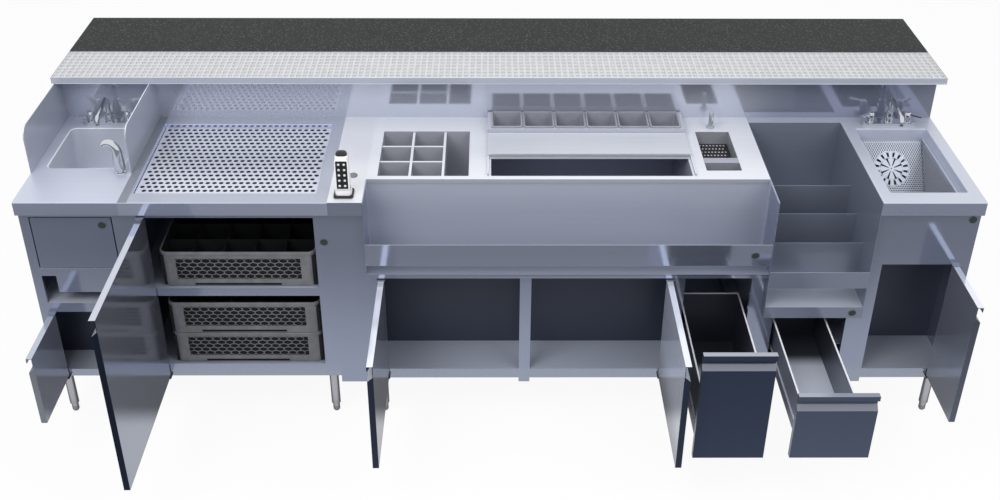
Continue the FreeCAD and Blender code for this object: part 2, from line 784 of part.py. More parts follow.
well_pieces = open_box("bottle_well", well_x, well_y, -s.well_drop, -deck, gauge, gauge)
split = s.well_divider
column = (s.well_width - 2 * split) * 0.357
row_run = (s.well_depth - 2 * split) / 3
well_rise = (-s.well_drop, -4)
first_split = well_x[0] + column
second_split = first_split + split + column
well_pieces.append(block("well_split_1", (first_split, first_split + split), well_y, well_rise))
well_pieces.append(block("well_split_2", (second_split, second_split + split), well_y, well_rise))
well_columns = ((well_x[0], first_split), (first_split + split, second_split))
for number, (low, high) in enumerate(well_columns, start=1):
    for step in (1, 2):
        near = well_y[0] + row_run * step + split * (step - 1)
        well_pieces.append(block(f"well_cross_{number}_{step}", (low, high), (near, near + split), well_rise))
node("bottle_well", well_pieces)

# Garnish tray bridging the back of the ice bin, with six hung pans
tray_y = (s.tray_start, s.tray_start + s.tray_depth)
bar_thick = 8
tray_rise = (0, s.tray_height)
tray_inside = (tray_y[0] + bar_thick, tray_y[1] - bar_thick)
pan_pitch = (bin_x[1] - bin_x[0]) / 6
tray_pieces = [
    block("tray_near", rear_x, (tray_y[0], tray_y[0] + bar_thick), tray_rise),
    block("tray_far", rear_x, (tray_y[1] - bar_thick, tray_y[1]), tray_rise),
    block("tray_end_left", (rear_x[0], bin_x[0] + 4), tray_inside, tray_rise),
    block("tray_end_right", (bin_x[1] - 4, rear_x[1]), tray_inside, tray_rise),
]
for number in range(1, 6):
    middle = bin_x[0] + pan_pitch * number
    cross = (middle - bar_thick / 2, middle + bar_thick / 2)
    tray_pieces.append(block(f"tray_cross_{number}", cross, tray_inside, tray_rise))
node("garnish_tray", tray_pieces)
for number in range(6):
    name = f"garnish_pan_{number + 1}"
    low = bin_x[0] + pan_pitch * number + bar_thick / 2 + 1.2
    high = bin_x[0] + pan_pitch * (number + 1) - bar_thick / 2 - 1.2
    near = tray_y[0] + bar_thick + 1.2
    far = tray_y[1] - bar_thick - 1.2
    wall = 1.5
    rim = (s.tray_height + 0.3, s.tray_height + 6)
    rim_x = (low - 3.5, high + 3.5)
    rim_y = (near - 4, far + 4)
    pieces = open_box(
        name, (low + wall, high - wall), (near + wall, far - wall), -s.pan_drop_depth, rim[0], wall, wall
    )
    pieces += [
        block(name + "_rim_near", rim_x, (rim_y[0], near + wall), rim),
        block(name + "_rim_far", rim_x, (far - wall, rim_y[1]), rim),
        block(name + "_rim_left", (rim_x[0], low + wall), (near + wall, far - wall), rim),
        block(name + "_rim_right", (high - wall, rim_x[1]), (near + wall, far - wall), rim),
    ]
    node(name, pieces)

# Rinse well: rear part with a perforated insert, a bridge, a small part at the front, tap behind
bridge = (rinse_y[0] + 49, rinse_y[0] + 81)
tap_x = (rinse_x[0] + rinse_x[1]) / 2
tap_post = lathe([(0, 0), (13, 0), (13, 4), (7, 6), (7, 50), (5, 54), (0, 54)])
tap_spout = tube([(0, 0, 42), (0, -26, 42), (0, -26, 26)], 4, 8)
node("rinse_well", open_box("rinse_well", rinse_x, rinse_y, -s.rinse_drop, -deck, gauge, gauge) + [
    block("rinse_bridge", rinse_x, bridge, (-deck, 0)),
    block("rinse_bridge_near", rinse_x, (bridge[0], bridge[0] + gauge), (-s.rinse_drop, -deck)),
    block("rinse_bridge_far", rinse_x, (bridge[1] - gauge, bridge[1]), (20 - s.rinse_drop, -deck)),
    shaped("rinse_tap", tap_post.fuse(tap_spout).removeSplitter(), tap_x, 492, 0),
])
mat_y = (bridge[1] + 1.5, rinse_y[1] - 1.5)
mat_x = (rinse_x[0] + 1.5, rinse_x[1] - 1.5)
mat_width = (mat_x[1] - mat_x[0]).value
mat_depth = (mat_y[1] - mat_y[0]).value
mat_top = -44
mat_plate = holed_plate(mat_width, mat_depth, 4, staggered(mat_width, mat_depth, 8, 8, 11), 4)
mat_leg = (0.3 - s.rinse_drop, mat_top - 4)
node("rinse_insert", [
    shaped("rinse_mat", mat_plate, mat_x[0], mat_y[0], mat_top - 4),
    block("rinse_leg_left", (mat_x[0], mat_x[0] + 2), mat_y, mat_leg),
    block("rinse_leg_right", (mat_x[1] - 2, mat_x[1]), mat_y, mat_leg),
])

# Speed rail along the front of the cocktail module
rail_shelf = -s.speed_drop
node("speed_rail", [
    block("rail_end_left", (x_bar, x_bar + gauge), (0, s.rail_set_back), (rail_shelf, -deck)),
    block("rail_end_right", (x_step - gauge, x_step), (0, s.rail_set_back), (rail_shelf, -deck)),
    block("rail_back", bar_in, (s.rail_set_back, s.rail_set_back + gauge), (rail_shelf, -deck)),
    block("rail_shelf", bar_x, (0, s.rail_set_back + gauge), (rail_shelf - gauge, rail_shelf)),
    block("rail_strip", bar_in, (0, deck), (-s.speed_strip_foot, -s.speed_strip_top)),
    block("rail_lip", bar_x, (0, gauge), (rail_shelf - 14, rail_shelf - gauge)),
])

# Storage cabinet under the cocktail deck, with a bay for the bottle drawer
store_top = rail_shelf - gauge
draw_open = (x_step - s.draw_stile - s.draw_opening, x_step - s.draw_stile)
store_run = draw_open[0] - s.store_post - s.store_mullion - x_bar - s.store_stile
left_run = (store_run - s.store_shift) / 2
store_left = (x_bar + s.store_stile, x_bar + s.store_stile + left_run)
store_right = (store_left[1] + s.store_mullion, draw_open[0] - s.store_post)
storage_leaf = left_run + s.storage_lap
open_top = -s.storage_leaf_top + 3
wall_x = draw_open[0] - s.bay_wall_set
low_wall = (case_foot, store_top)
high_wall = (store_top, -deck)
upper_y = (s.rail_set_back + gauge, back)
node("storage_cabinet", [
    block("store_side_left", (x_bar, x_bar + gauge), (face, back), low_wall),
    block("store_side_right", (x_step - gauge, x_step), (face, back), low_wall),
    block("store_upper_left", (x_bar, x_bar + gauge), upper_y, high_wall),
    block("store_upper_right", (x_step - gauge, x_step), upper_y, high_wall),
    block("store_back", bar_in, (back - gauge, back), (case_foot, -deck)),
    block("store_floor", bar_in, (frame_back, back - gauge), (floor_top - gauge, floor_top)),
    block("store_base_rail", bar_in, (face, frame_back), (case_foot, floor_top)),
    frame_bar("store_top_rail", bar_in, (open_top, store_top)),
    frame_bar("store_stile_left", (bar_in[0], store_left[0]), (floor_top, open_top)),
    frame_bar("store_mullion", (store_left[1], store_right[0]), (floor_top, open_top)),
    frame_bar("store_stile_middle", (store_right[1], draw_open[0]), (floor_top, open_top)),
    frame_bar("store_stile_right", (draw_open[1], bar_in[1]), (floor_top, open_top)),
    block("store_ceiling", bar_in, (frame_back, back - gauge), (open_top, open_top + gauge)),
    block("store_wall", (wall_x, wall_x + gauge), (frame_back, back - gauge), (floor_top, open_top)),
    bay_back("store_bay_back", (bar_in[0], wall_x), s.store_bay_depth, open_top),
    frame_bar("store_mullion_foot", (store_left[1], store_right[0]), (stile_foot, case_foot)),
])
left_pivot = store_left[0] - s.store_hang_left
right_pivot = store_right[1] + s.store_hang_right
door("storage_door_left", storage_leaf, s.storage_leaf_top, left_pivot, True)
door("storage_door_right", storage_leaf, s.storage_leaf_top, right_pivot, False)

# Bottle step display: four tiers, each a shelf behind a lip
step_x = (x_step, x_dump)
step_in = (x_step + gauge, x_dump - gauge)
step_foot = -s.step_foot_drop
step_back = s.step_pitch * 5
step_pieces = [
    block("step_side_left", (x_step, x_step + gauge), (0, back), (step_foot, 0)),
    block("step_side_right", (x_dump - gauge, x_dump), (0, back), (step_foot, 0)),
    block("step_front_rail", step_in, (0, gauge), (step_foot, -s.step_drop - gauge)),
    block("step_front_strip", step_in, (0, deck), (-s.step_drop + 70, -s.step_drop + s.step_lip)),
    block("step_ledge", step_in, (step_back, back), (-deck, 0)),
]
for tier in range(4):
    shelf_top = -s.step_drop + s.step_rise * tier
    near = s.step_pitch * tier
    far = step_back if tier == 3 else s.step_pitch * (tier + 1)
    step_pieces.append(block(f"step_shelf_{tier}", step_in, (near, far), (shelf_top - gauge, shelf_top)))
    if tier > 0:
        lip_top = shelf_top + s.step_lip
        lower = shelf_top - s.step_rise
        step_pieces.append(block(f"step_riser_{tier}", step_in, (near - gauge, near), (lower, lip_top)))
back_foot = -s.step_drop + s.step_rise * 3 - gauge
step_pieces.append(block("step_back", step_in, (step_back, step_back + gauge), (back_foot, -deck)))
node("step_display", step_pieces)

# Drawer cabinet under the bottle steps
util_open = (x_step + s.util_stile_left, x_dump - s.util_stile_right)
util_top = step_foot - s.utility_rail
node("drawer_cabinet", case("draw", step_x, step_foot) + [
    frame_bar("draw_stile_left", (step_in[0], util_open[0]), (floor_top, step_foot)),
    frame_bar("draw_stile_right", (util_open[1], step_in[1]), (floor_top, step_foot)),
    frame_bar("draw_top_rail", util_open, (util_top, step_foot)),
    block("draw_ceiling", step_in, (frame_back, back - gauge), (step_foot - gauge, step_foot)),
])

runner_pieces = []


def drawer(label, opening, bay, top, side_top, rise, spare=0):
    """A drawer pulled well out: front leaf, box, side flanges, and the runners that carry the flanges.

    The box stands its rise above the cabinet's floor, and is narrower than the opening by what is spare.
    """
    out = s.drawer_out
    width = opening[1] - opening[0] + 4
    shell, liner = leaf(label, width, leaf_foot - top)
    front = doc.addObject("Part::Compound", label + "_front")
    front.Links = [shell, liner]
    closed = face - s.leaf_gap - s.leaf_thick
    place(front, opening[0] - 2, closed - out, -leaf_foot)
    front_back = closed + s.leaf_thick - out
    box_x = (opening[0] + s.drawer_side_gap, opening[1] - s.drawer_side_gap - spare)
    inner_x = (box_x[0] + gauge, box_x[1] - gauge)
    length = back - face - 40
    run = (front_back, front_back + length)
    foot = floor_top + rise
    carry = foot + (side_top - foot) / 3
    box_pieces = [
        block(label + "_bottom", box_x, run, (foot, foot + gauge)),
        block(label + "_side_left", (box_x[0], inner_x[0]), run, (foot + gauge, side_top)),
        block(label + "_side_right", (inner_x[1], box_x[1]), run, (foot + gauge, side_top)),
        block(label + "_inner_front", inner_x, (run[0], run[0] + gauge), (foot + gauge, side_top)),
        block(label + "_inner_back", inner_x, (run[1] - gauge, run[1]), (foot + gauge, side_top)),
        block(label + "_flange_left", (box_x[0] - s.drawer_flange, box_x[0]), run, (carry, carry + 2)),
        block(label + "_flange_right", (box_x[1], box_x[1] + s.drawer_flange), run, (carry, carry + 2)),
    ]
    node(label, [front] + box_pieces)
    shelf = (carry - 2.3, carry - 0.3)
    web = (carry - 24, carry - 2.3)
    runner_y = (frame_back, back - gauge)
    runner_pieces.extend([
        block(label + "_runner_left", (bay[0], box_x[0] - 1), runner_y, shelf),
        block(label + "_runner_right", (box_x[1] + 1, bay[1]), runner_y, shelf),
        block(label + "_web_left", (box_x[0] - 3, box_x[0] - 1), runner_y, web),
        block(label + "_web_right", (box_x[1] + 1, box_x[1] + 3), runner_y, web),
    ])


bottle_top = s.storage_leaf_top - s.bottle_rise
bottle_bay = (wall_x + gauge, bar_in[1])
drawer("bottle_drawer", draw_open, bottle_bay, bottle_top, -bottle_top - s.bottle_side_drop, s.drawer_rise)
utility_top = s.step_foot_drop + s.utility_leaf_gap
utility_side_top = step_foot - s.utility_side_gap
drawer("utility_drawer", util_open, step_in, utility_top, utility_side_top, s.utility_rise, s.utility_spare)
node("drawer_runners", runner_pieces)

# Dump sink module
dump_x = (x_dump, x_end)
dump_in = (x_dump + gauge, x_end - gauge)
dump_mid = (x_dump + x_end) / 2
dump_open = (x_dump + s.dump_stile_left, x_end - s.dump_stile_right)
dump_open_top = -s.dump_leaf_top - 4
sink_x = (dump_mid - s.dump_bowl_width / 2, dump_mid + s.dump_bowl_width / 2)
sink_y = (s.dump_bowl_start, s.dump_bowl_start + s.dump_bowl_depth)
dump_drain_at = (dump_mid, sink_y[0] + 236)
node("dump_sink_cabinet", case("dump", dump_x, -deck, pipe=dump_drain_at) + [
    frame_bar("dump_stile_left", (dump_in[0], dump_open[0]), (floor_top, dump_open_top)),
    frame_bar("dump_stile_right", (dump_open[1], dump_in[1]), (floor_top, dump_open_top)),
    frame_bar("dump_panel", dump_in, (dump_open_top, -deck)),
    frame_bar("dump_stile_foot", (dump_in[0], dump_open[0]), (stile_foot, case_foot)),
    bay_back("dump_bay_back", dump_in, s.dump_bay_depth, -s.dump_bowl_drop - gauge),
])
dump_drain = drain("dump_drain", dump_drain_at, -s.dump_bowl_drop)
ledge_top = -37
node("dump_sink_top", deck_around("dump_deck", dump_x, (0, back), sink_x, sink_y)
     + apron("dump_deck", dump_x, False, True)
     + open_box("dump_bowl", sink_x, sink_y, -s.dump_bowl_drop, -deck, gauge, gauge, dump_drain_at)
     + [
         block("dump_ledge_left", (sink_x[0], sink_x[0] + 6), sink_y, (ledge_top - 3, ledge_top)),
         block("dump_ledge_right", (sink_x[1] - 6, sink_x[1]), sink_y, (ledge_top - 3, ledge_top)),
         dump_drain,
     ])

# Lift-out basket: straight sides, a steep perforated floor at the back and a flat one in front
basket_x = (sink_x[0] + 8, sink_x[1] - 8)
basket_near = sink_y[0] + 4
basket_run = s.dump_bowl_depth - 8
basket_fall = 200
slope_run = 180
basket_thick = 2
side_points = [
    (0, 0),
    (basket_run - slope_run, 0),
    (basket_run, basket_fall),
    (0, basket_fall),
]
basket_foot = ledge_top + 0.3 - basket_fall
basket_y = (basket_near, basket_near + basket_run)
basket_rim = (ledge_top + 0.3, ledge_top + 3)
basket_pieces = []
for name, low in (("left", basket_x[0]), ("right", basket_x[1] - basket_thick)):
    basket_pieces.append(padded(
        f"basket_side_{name}", "YZ_Plane", side_points, basket_thick, place, (low, basket_near, basket_foot)
    ))
inner_x = (basket_x[0] + basket_thick, basket_x[1] - basket_thick)
basket_wide = (inner_x[1] - inner_x[0]).value
flat_run = (basket_run - slope_run).value - basket_thick
slope_angle = math.degrees(math.atan2(basket_fall, slope_run))
slope_length = math.hypot(basket_fall, slope_run)
floor_holes = staggered(basket_wide, flat_run, 10, 11, 14)
flat_plate = holed_plate(basket_wide, flat_run, basket_thick, floor_holes, 4)
strainer_radius = 60
strainer_at = (basket_wide / 2, slope_length * 0.635)
slope_holes = [
    hole for hole in staggered(basket_wide, slope_length - 8, 12, 15, 12)
    if math.hypot(hole[0] - strainer_at[0], hole[1] - strainer_at[1]) > strainer_radius + 5
]
slope_plate = holed_plate(basket_wide, slope_length - 6, basket_thick, slope_holes, 4)
slope_plate.rotate(FreeCAD.Vector(0, 0, 0), FreeCAD.Vector(1, 0, 0), slope_angle)
slots = []
for count, ring_start, slot_long, slot_wide in ((8, 9, 26, 4), (16, 40, 15, 6)):
    for turn in range(count):
        slot = Part.makeBox(slot_long, slot_wide, 6, FreeCAD.Vector(ring_start, -slot_wide / 2, -3))
        slot.rotate(FreeCAD.Vector(0, 0, 0), FreeCAD.Vector(0, 0, 1), 360 / count * turn)
        slots.append(slot)
strainer = Part.makeCylinder(strainer_radius, 2.5).cut(slots)
strainer.translate(FreeCAD.Vector(strainer_at[0], strainer_at[1], basket_thick))
strainer.rotate(FreeCAD.Vector(0, 0, 0), FreeCAD.Vector(1, 0, 0), slope_angle)
slope_y = basket_near + basket_run - slope_run
basket_pieces += [
    shaped("basket_flat", flat_plate, inner_x[0], basket_near + basket_thick, basket_foot),
    shaped("basket_slope", slope_plate, inner_x[0], slope_y, basket_foot),
    shaped("basket_strainer", strainer, inner_x[0], slope_y, basket_foot),
    block("basket_near", inner_x, (basket_near, basket_near + basket_thick), (basket_foot, ledge_top + 0.3)),
    block("basket_rim_left", (sink_x[0] + 1, basket_x[0]), basket_y, basket_rim),
    block("basket_rim_right", (basket_x[1], sink_x[1] - 1), basket_y, basket_rim),
    block("basket_lip_left", (basket_x[0], basket_x[0] + basket_thick), basket_y, basket_rim),
    block("basket_lip_right", (basket_x[1] - basket_thick, basket_x[1]), basket_y, basket_rim),
]
node("dump_basket", basket_pieces)
door("dump_door", s.dump_leaf, s.dump_leaf_top, dump_open[1], False)


def faucet(label, middle):
    """A deck faucet: base with two hubs, a swivelling spout and two lever handles."""
    depth = 520
    spread = 60
    base = Part.makeBox(136, 40, 10, FreeCAD.Vector(-68, -20, 0))
    for end in (-68, 68):
        base = base.fuse(Part.makeCylinder(20, 10, FreeCAD.Vector(end, 0, 0)))
    for end in (-spread, spread):
        base = base.fuse(Part.makeCylinder(13, 14, FreeCAD.Vector(end, 0, 10)))
    base = base.fuse(Part.makeCylinder(15, 16, FreeCAD.Vector(0, 0, 10)))
    base = base.fuse(Part.makeCylinder(7, 24, FreeCAD.Vector(0, 0, 10)))
    for end in (-spread, spread):
        base = base.fuse(Part.makeCylinder(4, 26, FreeCAD.Vector(end, 0, 10)))
    node(label + "_body", [shaped(label + "_base", base.removeSplitter(), middle, depth, 0)])
    neck = tube([(0, 0, 26.3), (0, 0, 92), (0, -124, 74), (0, -124, 54)], 8, 14)
    collar = Part.makeCylinder(12, 18, FreeCAD.Vector(0, 0, 26.3))
    spout = neck.fuse(collar).cut(Part.makeCylinder(7.05, 9, FreeCAD.Vector(0, 0, 26)))
    node(label + "_spout", [shaped(label + "_neck", spout.removeSplitter(), middle, depth, 0)])
    for side, sign in (("left", -1), ("right", 1)):
        hub = lathe([(0, 24.3), (12, 24.3), (13, 34), (9, 42), (0, 44)])
        lever = Part.makeBox(46, 12, 5, FreeCAD.Vector(0, -6, 34))
        tip = Part.makeCylinder(6, 5, FreeCAD.Vector(46, 0, 34))
        lever = lever.fuse(tip)
        lever.rotate(FreeCAD.Vector(0, 0, 0), FreeCAD.Vector(0, 0, 1), -90 + 55 * sign)
        grip = hub.fuse(lever).cut(Part.makeCylinder(4.05, 12.4, FreeCAD.Vector(0, 0, 24)))
        node(f"{label}_handle_{side}", [
            shaped(f"{label}_lever_{side}", grip.removeSplitter(), middle + sign * spread, depth, 0)
        ])


faucet("hand_faucet", hand_mid)
faucet("dump_faucet", dump_mid)

# Soap pump head with its bent spout
soap_stem = tube([(0, 0, 10), (0, 0, 104), (-34, 0, 104), (-34, 0, 90)], 6, 12)
node("soap_pump", [shaped("soap_head", soap_stem, soap_x, soap_y, 0)])

# Bar front: backsplash, die wall with gussets, drink rail and stone top
whole_x = (x_hand, x_end)
node("backsplash", [block("backsplash_plate", whole_x, (back, back + deck), (-deck, s.splash_height))])

die_near = back + deck
die_far = stone_start
die_foot = -s.counter_height
stone_foot = s.bar_top_height - s.stone_thick
panel_thick = 12
die_pieces = [
    block("die_top", whole_x, (die_near, die_far), (s.splash_height - deck, s.splash_height)),
    block("die_panel", whole_x, (die_far, die_far + panel_thick), (die_foot, stone_foot)),
]
post_thick = 40
post_pitch = (total_width - post_thick) / 5
for number in range(6):
    low = x_hand + post_pitch * number
    die_pieces.append(block(
        f"die_post_{number}", (low, low + post_thick), (die_near, die_far), (die_foot, s.splash_height - deck)
    ))
gusset_thick = 8
gusset_run = s.stone_depth - panel_thick - 50
gusset_fall = 130
gusset_points = [(0, 0), (gusset_run, gusset_fall - 15), (gusset_run, gusset_fall), (0, gusset_fall)]
gusset_pitch = (total_width - 200) / 4
for number in range(5):
    low = x_hand + 100 + gusset_pitch * number - gusset_thick / 2
    die_pieces.append(padded(
        f"die_gusset_{number}", "YZ_Plane", gusset_points, gusset_thick, place,
        (low, die_far + panel_thick, stone_foot - gusset_fall),
    ))
node("bar_die", die_pieces)

bar_span = (x_hand - s.stone_over, x_end + s.stone_over)
rail_y = (s.rail_start, stone_start)
rail_floor = s.splash_height + deck
rail_wall = (rail_floor, s.bar_top_height)
rail_inside = (rail_y[0] + deck, rail_y[1] - deck)
grid_top = s.bar_top_height - 1
node("drink_rail", [
    block("drink_floor", bar_span, rail_y, (s.splash_height, rail_floor)),
    block("drink_near", bar_span, (rail_y[0], rail_y[0] + deck), rail_wall),
    block("drink_far", bar_span, (rail_y[1] - deck, rail_y[1]), rail_wall),
    block("drink_end_left", (bar_span[0], bar_span[0] + deck), rail_inside, rail_wall),
    block("drink_end_right", (bar_span[1] - deck, bar_span[1]), rail_inside, rail_wall),
])
grid_x = (bar_span[0] + deck + 1, bar_span[1] - deck - 1)
grid_y = (rail_y[0] + deck + 1, rail_y[1] - deck - 1)
grid_pieces = [block("grid_sheet", grid_x, grid_y, (grid_top - 4, grid_top))]
for number in range(4):
    low = grid_y[0] + 20 + (s.rail_depth - 52) / 3 * number
    grid_pieces.append(block(f"grid_rib_{number}", grid_x, (low, low + 6), (rail_floor + 0.3, grid_top - 4)))
node("drink_rail_grid", grid_pieces)
node("stone_top", [block("stone_slab", bar_span, (stone_start, stone_end), (stone_foot, s.bar_top_height))])

# Legs and screw-in bullet feet under the modules' corners
leg_columns = (
    x_hand + s.leg_inset,
    x_gun - s.leg_inset,
    x_bar + s.leg_inset,
    x_step - s.leg_inset,
    x_end - s.leg_inset,
)
leg_rows = (frame_back + s.leg_radius + 1.5, back - s.leg_inset)
leg_tops = [floor_top - gauge] * len(leg_columns)
leg_tops[1] = rack_floor - gauge
tube_foot = s.foot_height - s.counter_height
foot_profile = [(0, 0), (8, 0), (11, 5), (11, 22), (9, s.foot_height.value), (0, s.foot_height.value)]
leg_pieces = []
for column_number, (leg_x, leg_top) in enumerate(zip(leg_columns, leg_tops)):
    for row_number, leg_y in enumerate(leg_rows):
        name = f"{column_number}_{row_number}"
        leg_pieces.append(rod("leg_" + name, s.leg_radius, leg_top - tube_foot, leg_x, leg_y, tube_foot))
        leg_pieces.append(shaped("foot_" + name, lathe(foot_profile), leg_x, leg_y, -s.counter_height))
node("legs", leg_pieces)

node("door_hinges", hinge_pieces)

# Plain round badges on the cabinets' faces
badge_spots = (
    (x_gun - 21, face, -148),
    (x_step - 50, as_size(0), -182),
    (x_dump - 32, as_size(0), -392),
    (x_end - 22, face, -70),
)
node("badges", [
    shaped(f"badge_{number}", badge_shape.copy(), *spot) for number, spot in enumerate(badge_spots)
])

doc.recompute()
os.makedirs("parts", exist_ok=True)
for item in doc.Objects:
    if "Invalid" in item.State or "Error" in item.State:
        raise RuntimeError(f"{item.Name} did not rebuild: {item.State}")
for sub_part in nodes:
    if sub_part.Shape.isNull() or not sub_part.Shape.isValid():
        raise RuntimeError(f"{sub_part.Label} has no valid shape")
    sub_part.Shape.exportStep(f"parts/{sub_part.Label}.step")
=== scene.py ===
import bmesh
import bpy
from math import cos, dist, hypot, pi, radians, sin
from mathutils import Matrix, Vector


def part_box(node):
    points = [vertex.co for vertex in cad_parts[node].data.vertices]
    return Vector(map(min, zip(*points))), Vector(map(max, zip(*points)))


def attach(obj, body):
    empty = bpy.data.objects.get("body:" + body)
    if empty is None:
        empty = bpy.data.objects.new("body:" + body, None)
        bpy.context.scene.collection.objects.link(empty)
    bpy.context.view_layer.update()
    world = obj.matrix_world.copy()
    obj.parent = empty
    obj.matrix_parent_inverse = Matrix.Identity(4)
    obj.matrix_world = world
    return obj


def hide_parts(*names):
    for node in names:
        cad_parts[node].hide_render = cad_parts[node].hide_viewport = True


# An under-bar cocktail station from the bartender's side, with its doors open and its drawers out.
# Lengths are millimetres: x along the station, y back from the counter's front edge and z up from
# the counter's top. spot() turns them into metres of the shared frame.

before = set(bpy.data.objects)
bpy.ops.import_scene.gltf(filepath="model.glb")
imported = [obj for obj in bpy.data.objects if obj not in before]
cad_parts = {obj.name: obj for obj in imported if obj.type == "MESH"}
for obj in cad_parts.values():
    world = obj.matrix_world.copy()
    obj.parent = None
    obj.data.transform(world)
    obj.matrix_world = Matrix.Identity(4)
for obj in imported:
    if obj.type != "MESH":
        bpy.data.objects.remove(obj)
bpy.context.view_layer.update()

MM = 0.001
FRONT_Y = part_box("gun_cabinet")[0].y / MM
COUNTER_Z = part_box("gun_cabinet")[1].z / MM


def spot(x, y, z):
    return Vector((x, y + FRONT_Y, z + COUNTER_Z)) * MM


def placed(name, data):
    """A new object in the scene."""
    item = bpy.data.objects.new(name, data)
    bpy.context.scene.collection.objects.link(item)
    return item


def span(node):
    """A CAD node's limits on x, y and z in the station's own millimetres."""
    low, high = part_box(node)
    shift = (0, FRONT_Y, COUNTER_Z)
    return [(low[axis] / MM - shift[axis], high[axis] / MM - shift[axis]) for axis in range(3)]


# Materials

ACROSS = (2.0, 160, 160)
UPRIGHT = (160, 160, 2.0)
LOOKS = {}


def plug(tree, socket, value):
    """Sets a socket to a value, or links it to the socket that is given instead."""
    if isinstance(value, bpy.types.NodeSocket):
        tree.links.new(value, socket)
    else:
        socket.default_value = value


def feed(tree, node, **inputs):
    for name, value in inputs.items():
        plug(tree, node.inputs[name.replace("_", " ")], value)


def add(tree, kind, settings=None, **inputs):
    """One shader node with its settings and its named inputs."""
    node = tree.nodes.new(kind)
    for name, value in (settings or {}).items():
        setattr(node, name, value)
    feed(tree, node, **inputs)
    return node


def wired(tree, kind, settings, inputs, output=0):
    """An output of a new node whose inputs are given by their numbers."""
    node = add(tree, kind, settings)
    for number, value in inputs.items():
        plug(tree, node.inputs[number], value)
    return node.outputs[output]


def maths(tree, operation, *values):
    return wired(tree, "ShaderNodeMath", {"operation": operation}, dict(enumerate(values)))


def mixed(tree, factor, first, second):
    """A number or a colour that goes from the first to the second as the factor rises."""
    if not isinstance(second, tuple):
        return wired(tree, "ShaderNodeMix", {}, {0: factor, 2: first, 3: second})
    tones = [(*tone, 1) if isinstance(tone, tuple) else tone for tone in (first, second)]
    return wired(tree, "ShaderNodeMix", {"data_type": "RGBA"}, {0: factor, 6: tones[0], 7: tones[1]}, 2)


def mixed_shader(tree, factor, first, second):
    return wired(tree, "ShaderNodeMixShader", {}, {0: factor, 1: first, 2: second})


def ramp(tree, value, low, high, start=0.0, end=1.0):
    """A value eased from start to end while the input goes from low to high."""
    ease = {"interpolation_type": "SMOOTHSTEP"}
    return wired(tree, "ShaderNodeMapRange", ease, {0: value, 1: low, 2: high, 3: start, 4: end})


def places(tree):
    return add(tree, "ShaderNodeTexCoord").outputs["Object"]


def noise(tree, vector, scale, detail, roughness=0.5):
    texture = add(tree, "ShaderNodeTexNoise", Vector=vector, Scale=scale, Detail=detail, Roughness=roughness)
    return texture.outputs["Fac"]


def streaks(tree, scale, detail=3.0):
    """Noise stretched along the brushing direction, from 0 to 1."""
    stretch = add(tree, "ShaderNodeMapping", Vector=places(tree), Scale=scale)
    return noise(tree, stretch.outputs["Vector"], 1.0, detail)


def bumped(tree, shader, height, strength, distance=0.0002):
    """Gives a surface a fine texture."""
    bump = add(tree, "ShaderNodeBump", Strength=strength, Distance=distance, Height=height)
    feed(tree, shader, Normal=bump.outputs["Normal"])


def start_look(name):
    """A new material, kept under its name among the looks."""
    LOOKS[name] = bpy.data.materials.new(name)
    LOOKS[name].use_nodes = True
    tree = LOOKS[name].node_tree
    return tree, tree.nodes["Principled BSDF"]


def steel(
    name, tone, zones=(), roughness=0.34, grain=ACROSS, contrast=0.10, polish=False, metallic=0.45,
    finishes=(),
):
    """Brushed steel with one tone, and other tones where faces look another way or lie elsewhere.

    A zone is a tone and the conditions for it, all of which must hold. A condition is (source, axis,
    low, high): source "normal" reads the way a face looks and "place" reads where it is in metres.
    A finish is the same with metallic and roughness for the tone.
    """
    tree, shader = start_look(name)
    coordinates = add(tree, "ShaderNodeTexCoord").outputs
    parts = {
        "normal": add(tree, "ShaderNodeSeparateXYZ", Vector=coordinates["Normal"]),
        "place": add(tree, "ShaderNodeSeparateXYZ", Vector=coordinates["Object"]),
    }

    def share(conditions):
        """How far a point lies in a zone: the product of its conditions, each from 0 to 1."""
        factor = 1.0
        for source, axis, low, high in conditions:
            factor = maths(tree, "MULTIPLY", factor, ramp(tree, parts[source].outputs[axis], low, high))
        return factor

    colour = tone
    for other, *conditions in zones:
        colour = mixed(tree, share(conditions), colour, other)
    brush = streaks(tree, grain)
    shade = maths(tree, "MULTIPLY_ADD", brush, contrast, 1.0 - contrast / 2)
    tint = wired(tree, "ShaderNodeVectorMath", {"operation": "SCALE"}, {0: colour, "Scale": shade})
    metal = metallic
    finish = roughness
    for other_metal, other_finish, *conditions in finishes:
        metal = mixed(tree, share(conditions), metal, other_metal)
        finish = mixed(tree, share(conditions), finish, other_finish)
    cloud = streaks(tree, (3.0, 3.0, 3.0), 2.0)
    worn = maths(tree, "MULTIPLY", finish, ramp(tree, cloud, 0.3, 0.7, 0.85, 1.15))
    feed(tree, shader, Base_Color=tint, Metallic=metal, Roughness=worn)
    if not polish:
        bumped(tree, shader, brush, 0.05)


def up(tone, low=0.45, high=0.75):
    """A tone for faces that look up: painted light and shade, tops lighter, or darker in hollows, for how the
    light falls on them.
    """
    return (tone, ("normal", 2, low, high))


def down_to(level, tone, reach=0.04):
    """A tone below a height above the floor in metres: painted light and shade low down, such as the floor's
    painted reflection on a cabinet's base or painted shade deep in a bowl.
    """
    return (tone, ("place", 2, level + reach, level))


def moulded(name, tone, roughness, speck=0.12, gloss=0.5):
    """Moulded plastic, rubber or enamel: a faint mottle and a fine texture."""
    tree, shader = start_look(name)
    mottle = noise(tree, places(tree), 35.0, 4.0)
    darker = tuple(part * (1.0 - speck) for part in tone)
    lighter = tuple(part * (1.0 + speck) for part in tone)
    colour = mixed(tree, ramp(tree, mottle, 0.3, 0.7), darker, lighter)
    feed(tree, shader, Base_Color=colour, Roughness=roughness, Specular_IOR_Level=gloss)
    bumped(tree, shader, noise(tree, places(tree), 900.0, 2.0), 0.10)


